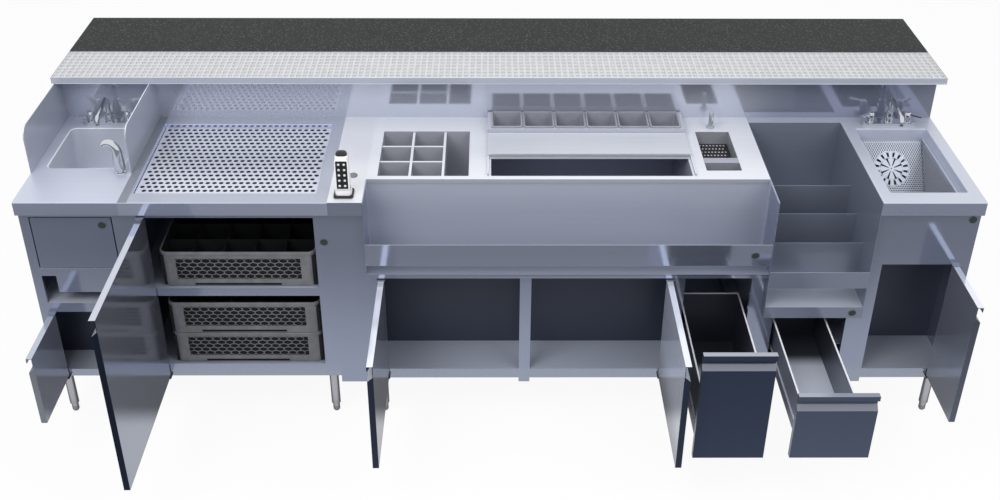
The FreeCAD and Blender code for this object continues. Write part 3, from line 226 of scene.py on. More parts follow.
def granite(name):
    """Dark speckled stone, honed on its faces."""
    tree, shader = start_look(name)
    fine = noise(tree, places(tree), 120.0, 4.0, 0.75)
    flake = add(tree, "ShaderNodeTexVoronoi", Vector=places(tree), Scale=105.0).outputs["Distance"]
    cloud = noise(tree, places(tree), 6.0, 3.0)
    base = mixed(tree, ramp(tree, fine, 0.38, 0.62), (0.003, 0.004, 0.004), (0.030, 0.034, 0.034))
    base = mixed(tree, ramp(tree, flake, 0.30, 0.10), base, (0.115, 0.128, 0.126))
    base = mixed(tree, ramp(tree, cloud, 0.35, 0.75, 0.0, 0.2), base, (0.022, 0.026, 0.025))
    worn = ramp(tree, fine, 0.3, 0.7, 0.45, 0.6)
    feed(tree, shader, Base_Color=base, Roughness=worn, Specular_IOR_Level=0.12)


def laminate(name):
    """Dark board of the bar front, with fine upright grain."""
    tree, shader = start_look(name)
    grain = streaks(tree, (160, 160, 3.0), 4.0)
    colour = mixed(tree, ramp(tree, grain, 0.3, 0.7), (0.035, 0.037, 0.040), (0.060, 0.062, 0.066))
    feed(tree, shader, Base_Color=colour, Roughness=0.5)
    bumped(tree, shader, grain, 0.15, 0.0004)


# The tones of the one stainless steel differ from part to part, and between faces that look up and the rest,
# as painted light and shade for how the light falls where each lies.
APRON = (0.50, 0.55, 0.71)
FRONT = (0.37, 0.41, 0.535)
BASE = (0.40, 0.44, 0.53)
SHELF = (0.46, 0.50, 0.60)
NAVY = (0.022, 0.031, 0.058)
SATIN_TOP = (0.45, 0.36, ("normal", 2, 0.45, 0.75))
BASE_TOP = 0.17


def polished(name, tone, zones, finishes=(), grain=UPRIGHT, contrast=0.06):
    """Mirror-polished upright faces, and satin ones where the sheet lies level."""
    steel(name, tone, zones, 0.1, grain, contrast, True, 0.85, [SATIN_TOP, *finishes])


def folded(name, apron_tone, deck_zones):
    """A deck folded down in front: a satin top over a polished apron."""
    polished(name, apron_tone, deck_zones, (), ACROSS, 0.10)


def cabinet_steel(name, bay_depth, bay_tone=(0.029, 0.036, 0.058), drawer=None):
    """A cabinet: the front's tones with painted light on its tops and the floor's painted reflection on its
    base, painted deep shade on its bay's inner panel, and painted light in any drawer's bay.
    """
    panel = (bay_depth + FRONT_Y) * MM
    on_panel = ("place", 1, panel - 0.012, panel - 0.002)
    facing = ("normal", 1, -0.45, -0.75)
    zones = [up((0.68, 0.72, 0.84)), down_to(BASE_TOP, BASE), (bay_tone, on_panel, facing)]
    finishes = [(0.3, 0.4, on_panel, facing)]
    if drawer:
        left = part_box(drawer)[0].x
        inside = ("place", 1, (FRONT_Y + 50) * MM, (FRONT_Y + 60) * MM)
        right_of = ("place", 0, left - 0.02, left - 0.015)
        zones.append(((0.60, 0.64, 0.76), inside, right_of))
        finishes.append((0.2, 0.4, inside, right_of))
    polished(name, FRONT, zones, finishes)


def leaf_steel(name, edge, inner_side, inner, flange, metallic, foot=None):
    """A door: dark outside, polished inside, with a painted highlight on its flange's top and, if asked, a
    painted darker reflection of the shaded floor at its foot.
    """
    inward = ("normal", 0, 0.5 * inner_side, 0.8 * inner_side)
    zones = [(inner, inward), up(flange, 0.35, 0.8)]
    finishes = []
    if foot:
        at_foot = ("place", 2, 0.36, 0.16)
        zones.append((foot, inward, at_foot))
        finishes.append((0.3, 0.15, inward, at_foot))
    steel(name, edge, zones, 0.13, UPRIGHT, 0.03, True, metallic, finishes)


LEAF = 18


def drawer_steel(node, front_tone):
    """A drawer: a satin box behind a dark front leaf, with painted light and shade: walls darker towards the
    back, a floor pale in front and dark at the back, and a pale slope and lip top on its pull.
    """
    leaf_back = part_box(node)[0].y + LEAF * MM
    on_leaf = ("place", 1, leaf_back + 0.003, leaf_back)
    deep = ("place", 1, leaf_back + 0.32, leaf_back + 0.39)
    # Painted light and shade: the box darkens towards the back, its floor is pale in front and dark deep in,
    # and the pull's slope and lip are pale on top.
    zones = [
        ((0.035, 0.039, 0.054), ("place", 1, leaf_back + 0.05, leaf_back + 0.36)),
        up((0.82, 0.87, 1.0)),
        (*up((0.045, 0.05, 0.068)), deep),
        (front_tone, on_leaf),
        (*up((0.19, 0.205, 0.25), 0.4, 0.6), on_leaf),
        (*up((0.38, 0.40, 0.46), 0.9, 0.97), on_leaf),
    ]
    finishes = [(0.55, 0.13, on_leaf)]
    steel(node + "_steel", (0.20, 0.22, 0.28), zones, 0.36, UPRIGHT, 0.03, True, 0.35, finishes)


# In these looks the tones for faces that look up are painted light and shade, and the different tones of the
# one stainless steel are painted light and shade too.
folded("hand_deck_steel", APRON, [up((0.54, 0.575, 0.68))])
folded("dump_deck_steel", APRON, [up((0.54, 0.565, 0.65))])
DRAIN_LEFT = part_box("drainboard_top")[0].x
left_strip = ("place", 0, DRAIN_LEFT + 0.030, DRAIN_LEFT + 0.024)
folded(
    "drain_deck_steel", (0.58, 0.63, 0.80),
    [up((0.43, 0.455, 0.54)), (*up((0.245, 0.26, 0.31)), left_strip)],
)
steel("bar_deck_steel", (0.40, 0.42, 0.49), [up((0.76, 0.78, 0.835), 0.6, 0.9)], 0.36, metallic=0.35)
steel("bowl_steel", (0.53, 0.555, 0.635), [up((0.90, 0.925, 0.975))], 0.4, contrast=0.06, metallic=0.15)
# Darker below 0.755 m: painted shade deep in the bowl.
steel(
    "dump_bowl_steel", (0.50, 0.54, 0.66), [down_to(0.755, (0.035, 0.038, 0.048), 0.015)], 0.4,
    contrast=0.06, metallic=0.15,
)
steel("drain_pan_steel", (0.10, 0.11, 0.14), [up((0.03, 0.033, 0.042))], 0.4, contrast=0.06)
# The pale shelf tops are painted light and the lighter base is the floor's painted reflection.
polished("rack_cabinet_steel", FRONT, [up(SHELF), down_to(BASE_TOP, BASE)])
polished("gun_cabinet_steel", FRONT, [up((0.77, 0.78, 0.83))])
steel("towel_steel", (0.31, 0.35, 0.47), [], 0.12, UPRIGHT, 0.06, True, 0.85)
cabinet_steel("hand_sink_cabinet_steel", 122)
cabinet_steel("storage_cabinet_steel", 172, drawer="bottle_drawer")
cabinet_steel("drawer_cabinet_steel", 570, drawer="utility_drawer")
cabinet_steel("dump_sink_cabinet_steel", 199, (0.056, 0.064, 0.092))
RAIL_BACK = (FRONT_Y + 100) * MM
RAIL_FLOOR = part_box("speed_rail")[0].z
on_rail_back = ("place", 1, RAIL_BACK, RAIL_BACK + 0.03)
at_rail_floor = ("place", 2, RAIL_FLOOR + 0.035, RAIL_FLOOR + 0.03)
# The pale tops are painted light, and the darker tops near the rail's floor are painted shade.
steel(
    "speed_rail_steel", (0.41, 0.45, 0.585),
    [
        ((0.43, 0.465, 0.56), on_rail_back),
        up((0.52, 0.56, 0.65)),
        (*up((0.24, 0.26, 0.32)), at_rail_floor),
    ],
    0.1, polish=True, metallic=0.85, finishes=[(0.4, 0.36, on_rail_back), SATIN_TOP],
)
steel("step_display_steel", (0.23, 0.255, 0.33), [up((0.52, 0.55, 0.63))], 0.22)
# Darker towards the right end: a painted darker reflection.
steel(
    "backsplash_steel", (0.52, 0.55, 0.645), [((0.30, 0.325, 0.43), ("place", 0, 0.72, 0.95))], 0.1,
    contrast=0.05, polish=True, metallic=0.6,
)
steel("side_splashes_steel", (0.44, 0.465, 0.54), [up((0.75, 0.78, 0.86))], 0.2)
steel("drink_rail_steel", (0.42, 0.45, 0.53), [up((0.86, 0.86, 0.87))], 0.36, metallic=0.2)
steel("cover_steel", (0.55, 0.57, 0.63), [up((0.68, 0.71, 0.77))], 0.36)
steel("garnish_tray_steel", (0.44, 0.45, 0.54), [up((0.60, 0.61, 0.68))], 0.22)
steel("ice_bin_steel", (0.36, 0.38, 0.48), [up((0.45, 0.47, 0.58))], 0.35, contrast=0.05, metallic=0.3)
steel("bottle_well_steel", (0.42, 0.43, 0.49), [up((0.78, 0.80, 0.86))], 0.35, metallic=0.3)
steel("rinse_well_steel", (0.40, 0.41, 0.46), [up((0.50, 0.52, 0.58))], 0.22)
steel("drain_insert_steel", (0.30, 0.32, 0.38), [up((0.64, 0.665, 0.76))], 0.22)
steel("basket_steel", (0.34, 0.36, 0.43), [up((0.60, 0.64, 0.74), 0.4, 0.7)], 0.22)
steel("drawer_runners_steel", (0.22, 0.24, 0.30), [up((0.40, 0.43, 0.50))], 0.22)
# Darker below 0.25 m: painted shade low down.
steel("door_hinges_steel", (0.26, 0.29, 0.37), [down_to(0.25, (0.045, 0.05, 0.07))], 0.36)
# Near white: the painted highlight along the drawers' rims.
steel("hem_highlight_steel", (0.92, 0.93, 0.96), [], 0.36, UPRIGHT, 0.05, metallic=0.2)
steel("legs_steel", (0.55, 0.55, 0.58), [], 0.15, UPRIGHT, 0.06, metallic=0.9)
steel("chrome", (0.62, 0.64, 0.68), [], 0.09, contrast=0.04, polish=True, metallic=0.95)
steel("badge_ring_steel", (0.32, 0.34, 0.36), [], 0.2, contrast=0.04, polish=True, metallic=0.9)
# The doors' tones differ from door to door for the light each face gets, and their flanges' pale tops are
# painted highlights: painted light and shade.
POLISHED_IN = (0.40, 0.43, 0.52)
BRIGHT_FLANGE = (0.80, 0.83, 0.92)
leaf_steel("rack_door_steel", NAVY, 1, POLISHED_IN, (0.60, 0.63, 0.72), 0.85)
leaf_steel("storage_door_left_steel", NAVY, 1, (0.22, 0.24, 0.30), (0.85, 0.88, 0.96), 0.55)
leaf_steel("storage_door_right_steel", NAVY, -1, (0.66, 0.70, 0.83), BRIGHT_FLANGE, 0.5, (0.20, 0.21, 0.245))
leaf_steel(
    "dump_door_steel", (0.12, 0.135, 0.18), -1, POLISHED_IN, BRIGHT_FLANGE, 0.75, (0.26, 0.275, 0.32)
)
leaf_steel("waste_door_steel", (0.22, 0.245, 0.28), 1, (0.45, 0.48, 0.58), (0.52, 0.56, 0.66), 0.55)
drawer_steel("bottle_drawer", (0.036, 0.049, 0.090))
drawer_steel("utility_drawer", (0.080, 0.099, 0.155))
moulded("rack_plastic", (0.140, 0.144, 0.155), 0.42)
# The crates' inside: the same plastic, near black as painted shade.
moulded("rack_shaded_inside", (0.011, 0.012, 0.013), 0.7, gloss=0.15)
moulded("pan_plastic", (0.29, 0.30, 0.35), 0.3, 0.05)
moulded("gun_plastic", (0.80, 0.80, 0.80), 0.35, 0.03)
moulded("black_plastic", (0.012, 0.012, 0.014), 0.35)
moulded("grommet_plastic", (0.17, 0.175, 0.185), 0.45)
moulded("button_plastic", (0.62, 0.62, 0.63), 0.35, 0.04)
moulded("rubber", (0.014, 0.014, 0.016), 0.6)
moulded("grid_plastic", (0.55, 0.55, 0.555), 0.45, 0.04)
moulded("grid_mat", (0.50, 0.51, 0.54), 0.45, 0.04)
moulded("badge_enamel", (0.022, 0.034, 0.032), 0.5, 0.1)
granite("stone")
laminate("die_board")


# Shapes

QUARTER = pi / 2
ARC = 6
STATION = "station"


def around(centre, radius, angle):
    """A point on a circle in a plane."""
    return centre[0] + radius * cos(angle), centre[1] + radius * sin(angle)


class Shape:
    """A mesh under construction, drawn in the station's millimetres."""

    def __init__(self):
        self.mesh = bmesh.new()
        self.paint = 0

    def corner(self, x, y, z):
        return self.mesh.verts.new(spot(x, y, z))

    def face(self, corners):
        face = self.mesh.faces.new(corners)
        face.smooth = True
        face.material_index = self.paint
        return face

    def turn_out(self, faces):
        bmesh.ops.recalc_face_normals(self.mesh, faces=faces)

    def block(self, x, y, z, round_by=0.8):
        """A closed box with eased edges."""
        v = [self.corner(a, b, c) for a in x for b in y for c in z]
        rows = ((0, 1, 3, 2), (4, 6, 7, 5), (0, 4, 5, 1), (2, 3, 7, 6), (0, 2, 6, 4), (1, 5, 7, 3))
        faces = [self.face([v[index] for index in row]) for row in rows]
        self.turn_out(faces)
        edges = list({edge for face in faces for edge in face.edges})
        made = bmesh.ops.bevel(
            self.mesh, geom=edges, offset=round_by * MM, segments=2, profile=0.5, affect="EDGES"
        )
        for face in made["faces"]:
            face.smooth = True
            face.material_index = self.paint

    def loft(self, loops, cap_first=False, cap_last=False):
        """Faces between closed loops of the same count; capped on request."""
        rows = [[self.corner(*point) for point in loop] for loop in loops]
        count = len(rows[0])
        faces = []
        for upper, lower in zip(rows, rows[1:]):
            for k in range(count):
                m = (k + 1) % count
                faces.append(self.face((upper[k], upper[m], lower[m], lower[k])))
        if cap_first:
            faces.append(self.face(rows[0][::-1]))
        if cap_last:
            faces.append(self.face(rows[-1]))
        if cap_first and cap_last:
            self.turn_out(faces)

    def lathe(self, profile, at, sides=40, forward=False):
        """A turned solid or ring from (radius, height) corners, its axis up or towards the bartender."""
        rings = []
        for radius, height in profile:
            ring = []
            for k in range(sides if radius else 1):
                across, other = around((0, 0), radius, 2 * pi * k / sides)
                move = (across, -height, other) if forward else (across, other, height)
                ring.append(self.corner(*(Vector(at) + Vector(move))))
            rings.append(ring)
        faces = []
        for first, second in zip(rings, rings[1:]):
            for k in range(sides):
                order = ((first, k), (first, k + 1), (second, k + 1), (second, k))
                unique = list(dict.fromkeys(ring[index % len(ring)] for ring, index in order))
                if len(unique) > 2:
                    faces.append(self.face(unique))
        self.turn_out(faces)

    def tube(self, path, radii, sides=24):
        """A round bar of changing radius along a line of points, closed at both ends."""
        points = [Vector(point) for point in path]
        side = (points[1] - points[0]).orthogonal()
        loops = []
        for k, (point, radius) in enumerate(zip(points, radii)):
            along = (points[min(k + 1, len(points) - 1)] - points[max(k - 1, 0)]).normalized()
            side = (side - along * side.dot(along)).normalized()
            other = along.cross(side)
            turns = [around((0, 0), radius, 2 * pi * n / sides) for n in range(sides)]
            loops.append([point + side * a + other * b for a, b in turns])
        self.loft(loops, True, True)

    def sheet_round(self, x, y, z, loop):
        """A flat sheet between a rectangle and a rounded opening with four arcs of equal count."""
        corners = [(x[0], y[0]), (x[1], y[0]), (x[1], y[1]), (x[0], y[1])]
        outer = [self.corner(a, b, z) for a, b in corners]
        inner = [self.corner(a, b, z) for a, b in loop]
        step = len(inner) // 4
        for side in range(4):
            arc = inner[side * step:(side + 1) * step]
            after = (side + 1) % 4
            for first, second in zip(arc, arc[1:]):
                self.face((outer[side], second, first))
            self.face((outer[side], outer[after], inner[after * step], arc[-1]))

    def apron(self, x, profile):
        """A folded strip along x through (y, z) corners, running down from a deck's front edge."""
        rows = [[self.corner(end, y, z) for end in x] for y, z in profile]
        for upper, lower in zip(rows, rows[1:]):
            self.face((lower[0], lower[1], upper[1], upper[0]))

    def thicken(self, faces, move):
        """Turns a flat patch of faces into a closed plate."""
        made = bmesh.ops.extrude_face_region(self.mesh, geom=faces, use_keep_orig=True)
        new = [item for item in made["geom"] if isinstance(item, bmesh.types.BMVert)]
        bmesh.ops.translate(self.mesh, verts=new, vec=Vector(move) * MM)
        whole = set(faces) | {item for item in made["geom"] if isinstance(item, bmesh.types.BMFace)}
        for vert in new:
            whole.update(vert.link_faces)
        self.turn_out(list(whole))

    def cells(self, pairs, move):
        """A plate made of touching cells, each an outline and a hole of the same corner count."""
        known = {}

        def shared(point):
            key = tuple(round(part, 3) for part in point)
            if key not in known:
                known[key] = self.corner(*point)
            return known[key]

        faces = []
        for pair in pairs:
            outer, inner = ([shared(point) for point in loop] for loop in pair)
            for k in range(len(outer)):
                m = (k + 1) % len(outer)
                faces.append(self.face((outer[k], outer[m], inner[m], inner[k])))
        self.thicken(faces, move)

    def grille(self, x, y, z, columns, rows, bar):
        """A plate of square cells between the limits, with bars of one width between and around them."""
        pairs = []
        wide = (x[1] - x[0]) / columns
        deep = (y[1] - y[0]) / rows
        for column in range(columns):
            for row in range(rows):
                pair = []
                for inset in (0, bar / 2):
                    a = (x[0] + wide * column + inset, x[0] + wide * (column + 1) - inset)
                    b = (y[0] + deep * row + inset, y[0] + deep * (row + 1) - inset)
                    ways = ((0, 0), (1, 0), (1, 1), (0, 1))
                    pair.append([(a[i], b[j], z[1]) for i, j in ways])
                pairs.append(pair)
        self.cells(pairs, (0, 0, z[0] - z[1]))

    def pierced(self, place, wide, deep, columns, rows, share, move, keep=None):
        """A plate of staggered six-sided cells, each with a hole, on a plane given by place(u, v).

        keep(u, v) tells which cells are made, by their centres.
        """
        six = ((0, 2 / 3), (-0.5, 1 / 3), (-0.5, -1 / 3), (0, -2 / 3), (0.5, -1 / 3), (0.5, 1 / 3))
        pitch = wide / (columns + 0.5)
        step = deep / (rows + 1 / 3)
        pairs = []
        for row in range(rows):
            for column in range(columns):
                u = pitch * (column + 0.5 + 0.5 * (row % 2))
                v = step * (row + 2 / 3)
                if keep and not keep(u, v):
                    continue
                pair = []
                for part in (1, share):
                    pair.append([place(u + a * pitch * part, v + b * step * part) for a, b in six])
                pairs.append(pair)
        self.cells(pairs, move)


def piece(name, shape, body, materials, replaced=None, thickness=0.0):
    """Makes a finished shape into an object that rides on a body, and hides the CAD node it replaces."""
    bmesh.ops.remove_doubles(shape.mesh, verts=shape.mesh.verts, dist=1e-6)
    mesh = bpy.data.meshes.new(name)
    shape.mesh.to_mesh(mesh)
    shape.mesh.free()
    mesh.set_sharp_from_angle(angle=radians(38))
    for material in materials:
        mesh.materials.append(LOOKS[material])
    item = placed(name, mesh)
    if thickness:
        shell = item.modifiers.new("sheet", "SOLIDIFY")
        shell.thickness = thickness * MM
        shell.offset = -1
    levelled = item.modifiers.new("normals", "WEIGHTED_NORMAL")
    levelled.keep_sharp = True
    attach(item, body)
    if replaced:
        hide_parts(replaced)


def flat(loop, z):
    return [(a, b, z) for a, b in loop]


def upright(loop, y):
    return [(a, y, b) for a, b in loop]


def rounded(x, y, radius):
    """A rectangle's outline with round corners: four arcs of equal count, from the near left one."""
    near, far = y[0] + radius, y[1] - radius
    centres = ((x[0] + radius, near), (x[1] - radius, near), (x[1] - radius, far), (x[0] + radius, far))
    points = []
    for corner, centre in enumerate(centres):
        for k in range(ARC + 1):
            points.append(around(centre, radius, QUARTER * (2 + corner + k / ARC)))
    return points


def circle_like(centre, radius):
    """A circle with as many points as a rounded outline."""
    count = 4 * (ARC + 1)
    return [around(centre, radius, pi * (1 + 2 * (k + 0.5) / count)) for k in range(count)]


def inset_loop(x, y, radius, inset, z):
    bend = max(radius - inset, 0.6)
    return flat(rounded((x[0] + inset, x[1] - inset), (y[0] + inset, y[1] - inset), bend), z)


def stack(x, y, radius, steps):
    """Round-cornered loops from (inset, height) steps."""
    return [inset_loop(x, y, radius, inset, z) for inset, z in steps]


def rolled(radius, steps):
    """A rolled edge from level to upright, as (distance from the upright face, height) pairs."""
    turns = [around((0, 0), radius, QUARTER * k / steps) for k in range(steps + 1)]
    return [(radius - rise, run - radius) for run, rise in turns]


def bowl_loops(x, y, radius, drop, rim, cove, taper):
    """Loops from a deck's opening over a rolled rim and down a wall into a coved floor."""
    loops = stack(x, y, radius, [(-out, z) for out, z in rolled(rim, 4)])
    floor_steps = [(taper - z, out - drop) for out, z in rolled(cove, 5)]
    return loops + stack(x, y, radius + cove + taper, floor_steps)


def opening(shape, x, y, hole_x, hole_y, radius, rim):
    """A deck field with a rounded opening, up to the start of its rolled rim."""
    loop = rounded((hole_x[0] - rim, hole_x[1] + rim), (hole_y[0] - rim, hole_y[1] + rim), radius + rim)
    shape.sheet_round(x, y, 0, loop)


# The decks, each one folded sheet

SHEET = 1.5
FOLD = 3
APRON_DROP = 44
HEM = 14
DECK_RUN = (FOLD, 564)
DECK_FOLD = rolled(FOLD, 4) + [(0, -FOLD - 0.5), (0, 1 - APRON_DROP), (1, -APRON_DROP), (HEM, -APRON_DROP)]
FLANGE_RADIUS = 45
STRAINER_SEAT = 33.4


def drain_fitting(shape, at, drop):
    """A sink drain: strainer plate in a dished flange above, and the tail for the waste pipe below."""
    top = -drop + 0.4
    shape.lathe([(33, -2.5), (36, 0.2), (45, 0.6), (46, -0.2), (46, -1.2), (33, -4)], (*at, top))
    spokes = 16
    hub = 9
    shape.lathe([(0, -1.6), (hub, -1.6), (hub, -3.4), (0, -3.4)], (*at, top))
    half = pi / spokes * 0.45
    for number in range(spokes):
        middle = 2 * pi * number / spokes
        ends = ((hub - 0.5, -half), (33.5, -half), (33.5, half), (hub - 0.5, half))
        corners = flat([around(at, radius, middle + turn) for radius, turn in ends], top - 1.8)
        shape.thicken([shape.face([shape.corner(*point) for point in corners])], (0, 0, -1.4))
    shoulder = -drop - SHEET - 5
    foot = shoulder - 65
    shape.lathe(
        [
            (33, -drop - 4), (33, -drop - 9), (12, shoulder - 12), (12, foot), (19, foot), (19, shoulder),
            (40, shoulder), (40, shoulder + 5), (STRAINER_SEAT, shoulder + 5),
        ],
        (*at, 0),
    )


def sink_top(name, x, hole_x, hole_y, radius, drop, cove, drain_at, materials, free_end):
    """A sink's deck and bowl in one sheet. Gives a shape with its drain and the cap of its free end."""
    sheet = Shape()
    opening(sheet, x, DECK_RUN, hole_x, hole_y, radius, FOLD)
    sheet.apron(x, DECK_FOLD)
    sheet.paint = 1
    loops = bowl_loops(hole_x, hole_y, radius, drop, FOLD, cove, 2)
    loops.append(flat(circle_like(drain_at, FLANGE_RADIUS), -drop - 0.6))
    loops.append(flat(circle_like(drain_at, STRAINER_SEAT), -drop - 2.5))
    sheet.loft(loops)
    piece(name + "_sheet", sheet, STATION, materials, thickness=SHEET)
    fittings = Shape()
    fittings.block(free_end, (2.2, 22), (-APRON_DROP, -1.6), 0.4)
    fittings.paint = 2
    drain_fitting(fittings, drain_at, drop)
    return fittings


hand_x = span("hand_sink_top")[0]
HAND_MID = (hand_x[0] + hand_x[1]) / 2
hand_bowl_x = (HAND_MID - 114.5, HAND_MID + 114.5)
HAND_DROP = 150
SOAP_AT = (hand_x[1] - 34, 182)
CAP = 2
hand_fittings = sink_top(
    "hand_top", hand_x, hand_bowl_x, (211, 480), 20, HAND_DROP, 16, (HAND_MID, 345.5),
    ["hand_deck_steel", "bowl_steel"], (hand_x[0], hand_x[0] + CAP),
)
COLLAR_BORE = 6.4
hand_fittings.lathe(
    [
        (COLLAR_BORE, 0.2), (18, 0.2), (18, 2.6), (16.5, 4.2), (9.5, 5.2), (9.5, 28), (8.5, 29.5),
        (COLLAR_BORE, 29.5), (COLLAR_BORE, 0.2),
    ],
    (*SOAP_AT, 0),
)
hand_looks = ["hand_deck_steel", "bowl_steel", "chrome"]
piece("hand_fittings", hand_fittings, STATION, hand_looks, "hand_sink_top")

rack_x = span("drainboard_top")[0]
pan_x = (rack_x[0] + 28.6, rack_x[1] - 37)
pan_y = (57, 511)
drain_sheet = Shape()
opening(drain_sheet, rack_x, DECK_RUN, pan_x, pan_y, 4, FOLD)
drain_sheet.apron(rack_x, DECK_FOLD)
drain_loops = bowl_loops(pan_x, pan_y, 4, 30, FOLD, 4, 0.2)
drain_sheet.loft(drain_loops[:6])
drain_sheet.paint = 1
drain_sheet.loft(drain_loops[5:], cap_last=True)
drain_looks = ["drain_deck_steel", "drain_pan_steel"]
piece("drainboard_sheet", drain_sheet, STATION, drain_looks, "drainboard_top", SHEET)

dump_x = span("dump_sink_top")[0]
DUMP_MID = (dump_x[0] + dump_x[1]) / 2
sink_x = (DUMP_MID - 115, DUMP_MID + 115)
sink_y = (64, 480)
DUMP_DROP = 255
dump_fittings = sink_top(
    "dump_top", dump_x, sink_x, sink_y, 6, DUMP_DROP, 14, (DUMP_MID, sink_y[0] + 236),
    ["dump_deck_steel", "dump_bowl_steel"], (dump_x[1] - CAP, dump_x[1]),
)
dump_fittings.paint = 1
for ledge in ((sink_x[0] + 0.2, sink_x[0] + 6), (sink_x[1] - 6, sink_x[1] - 0.2)):
    dump_fittings.block(ledge, (sink_y[0] + 8, sink_y[1] - 8), (-40, -37), 0.5)
dump_looks = ["dump_deck_steel", "bowl_steel", "chrome"]
piece("dump_fittings", dump_fittings, STATION, dump_looks, "dump_sink_top")

bar_x, bar_y, _ = span("cocktail_deck")
well_x = (bar_x[0] + 33.4, bar_x[0] + 308.4)
rinse_x = (bar_x[1] - 182.8, bar_x[1] - 75.8)
bin_x = (well_x[1] + 69, rinse_x[0] - 48)
well_edge = (well_x[1] + bin_x[0]) / 2
rinse_edge = (bin_x[1] + rinse_x[0]) / 2 + 12
DECK_LIP = 15
LIP_ROLL = 2
HOLE_ROLL = 1.6
HOLE_BEND = 3
HOLE_FRONT = 164
lip_face = bar_y[0] - 2.4
lip = [(lip_face + out, z) for out, z in rolled(LIP_ROLL, 3)]
lip += [(lip_face, -LIP_ROLL - 0.5), (lip_face, -DECK_LIP)]
deck = Shape()
fields = (
    ((bar_x[0], well_edge), well_x, (HOLE_FRONT, 461)),
    ((well_edge, rinse_edge), bin_x, (HOLE_FRONT, 550)),
    ((rinse_edge, bar_x[1]), rinse_x, (198, 459)),
)
for field_x, hole_x, hole_y in fields:
    opening(deck, field_x, (lip_face + LIP_ROLL, bar_y[1]), hole_x, hole_y, HOLE_BEND, HOLE_ROLL)
    deck.loft(stack(hole_x, hole_y, HOLE_BEND, [(-out, z) for out, z in rolled(HOLE_ROLL, 3)]))
    deck.apron(field_x, lip)
piece("bar_deck_sheet", deck, STATION, ["bar_deck_steel"], None, 1.4)
guides = Shape()
for low in (bin_x[0] - 12, bin_x[1] + 7):
    guides.block((low, low + 5), (HOLE_FRONT, 433), (0.1, 7.7), 0.8)
piece("cover_guides", guides, STATION, ["bar_deck_steel"], "cocktail_deck")


# Glass racks: moulded crates with round corners, pierced bands and five by five compartments, their insides
# painted near black as shade

CRATE_BEND = 28
CRATE_INSIDE = -6
SIDE_MARKS = (0.05, 0.17, 0.80, 0.95)
SLOT_ROW = 2
BAND_ROW = 4


def crate_outline(x, y):
    """The crate's outline as (point, way out) pairs, and where each straight side's marks start in it."""
    arcs = rounded(x, y, CRATE_BEND)
    outline = []
    starts = []
    for k, point in enumerate(arcs):
        corner, step = divmod(k, ARC + 1)
        way = around((0, 0), 1, QUARTER * (2 + corner + step / ARC))
        outline.append((point, way))
        if step == ARC:
            target = arcs[(k + 1) % len(arcs)]
            starts.append(len(outline))
            for mark in SIDE_MARKS:
                outline.append(([a + (b - a) * mark for a, b in zip(point, target)], way))
    return outline, starts


def crate(node, lip_deep):
    """A crate's walls with open bands and slots, filled bands, a floor grille and compartments, its inside
    painted near black as shade.
    """
    x, y, (foot, top) = span(node)
    shape = Shape()
    outline, starts = crate_outline(x, y)
    count = len(outline)
    band = (foot + 25.5, top - lip_deep)
    outside = (
        (foot, -3.5), (foot + 1.5, -2.2), (foot + 2.5, -2), (foot + 11.5, -2), (band[0], -2), (band[1], -2),
        (top - 11, -2), (top - 9.5, -0.2), (top - 2, 0), (top, -1.6),
    )

    def ring(height, offset):
        return [shape.corner(p[0] + way[0] * offset, p[1] + way[1] * offset, height) for p, way in outline]

    def is_open(row, k):
        """Whether a wall cell is left out: the whole band, and a slot in the foot of the front and back."""
        for side, start in enumerate(starts):
            if start <= k < start + len(SIDE_MARKS) - 1:
                return row == BAND_ROW or (row == SLOT_ROW and side in (0, 2) and k == start + 1)
        return False

    outer = [ring(height, offset) for height, offset in outside]
    inner = [ring(height, CRATE_INSIDE) for height, _ in outside]
    faces = []
    for row in range(len(outside) - 1):
        above = row + 1
        for k in range(count):
            m = (k + 1) % count
            if is_open(row, k):
                jambs = (
                    (row, k - 1, (row, k), (above, k)),
                    (row, k + 1, (row, m), (above, m)),
                    (row - 1, k, (row, k), (row, m)),
                    (row + 1, k, (above, k), (above, m)),
                )
                for near_row, near_k, (a, b), (c, d) in jambs:
                    if not is_open(near_row, near_k % count):
                        faces.append(shape.face((outer[a][b], outer[c][d], inner[c][d], inner[a][b])))
                continue
            faces.append(shape.face((outer[row][k], outer[row][m], outer[above][m], outer[above][k])))
            # Inner wall faces take the near-black look: painted shade.
            shape.paint = 1
            faces.append(shape.face((inner[row][m], inner[row][k], inner[above][k], inner[above][m])))
            shape.paint = 0
    for row in (0, -1):
        for k in range(count):
            m = (k + 1) % count
            faces.append(shape.face((outer[row][k], outer[row][m], inner[row][m], inner[row][k])))
    shape.turn_out(faces)
    for start in starts:
        begin, way = outline[start]
        end = outline[start + len(SIDE_MARKS) - 1][0]
        length = dist(begin, end)

        def wall_point(u, v):
            run = [a + (b - a) * u / length - out * 3 for a, b, out in zip(begin, end, way)]
            return (*run, band[0] + v)

        shape.pierced(wall_point, length, band[1] - band[0], 14, 5, 0.88, (-way[0] * 2, -way[1] * 2, 0))
    inside_x = (x[0] + 5.5, x[1] - 5.5)
    inside_y = (y[0] + 5.5, y[1] - 5.5)
    floor_x = (inside_x[0] + 14, inside_x[1] - 14)
    # The floor grille and compartments take it too: painted shade inside the crate.
    shape.paint = 1
    shape.grille(floor_x, inside_y, (foot + 0.6, foot + 4.6), 10, 10, 9)
    shape.grille(inside_x, inside_y, (foot + 5, top - 13), 5, 5, 2.4)
    return shape


for rack, lip_deep in (("upper_rack", 23), ("lower_rack", 16), ("stacked_rack", 16)):
    piece(rack + "_crate", crate(rack, lip_deep), rack, ["rack_plastic", "rack_shaded_inside"], rack)


# Drink rail grid: a plate of square holes on ribs

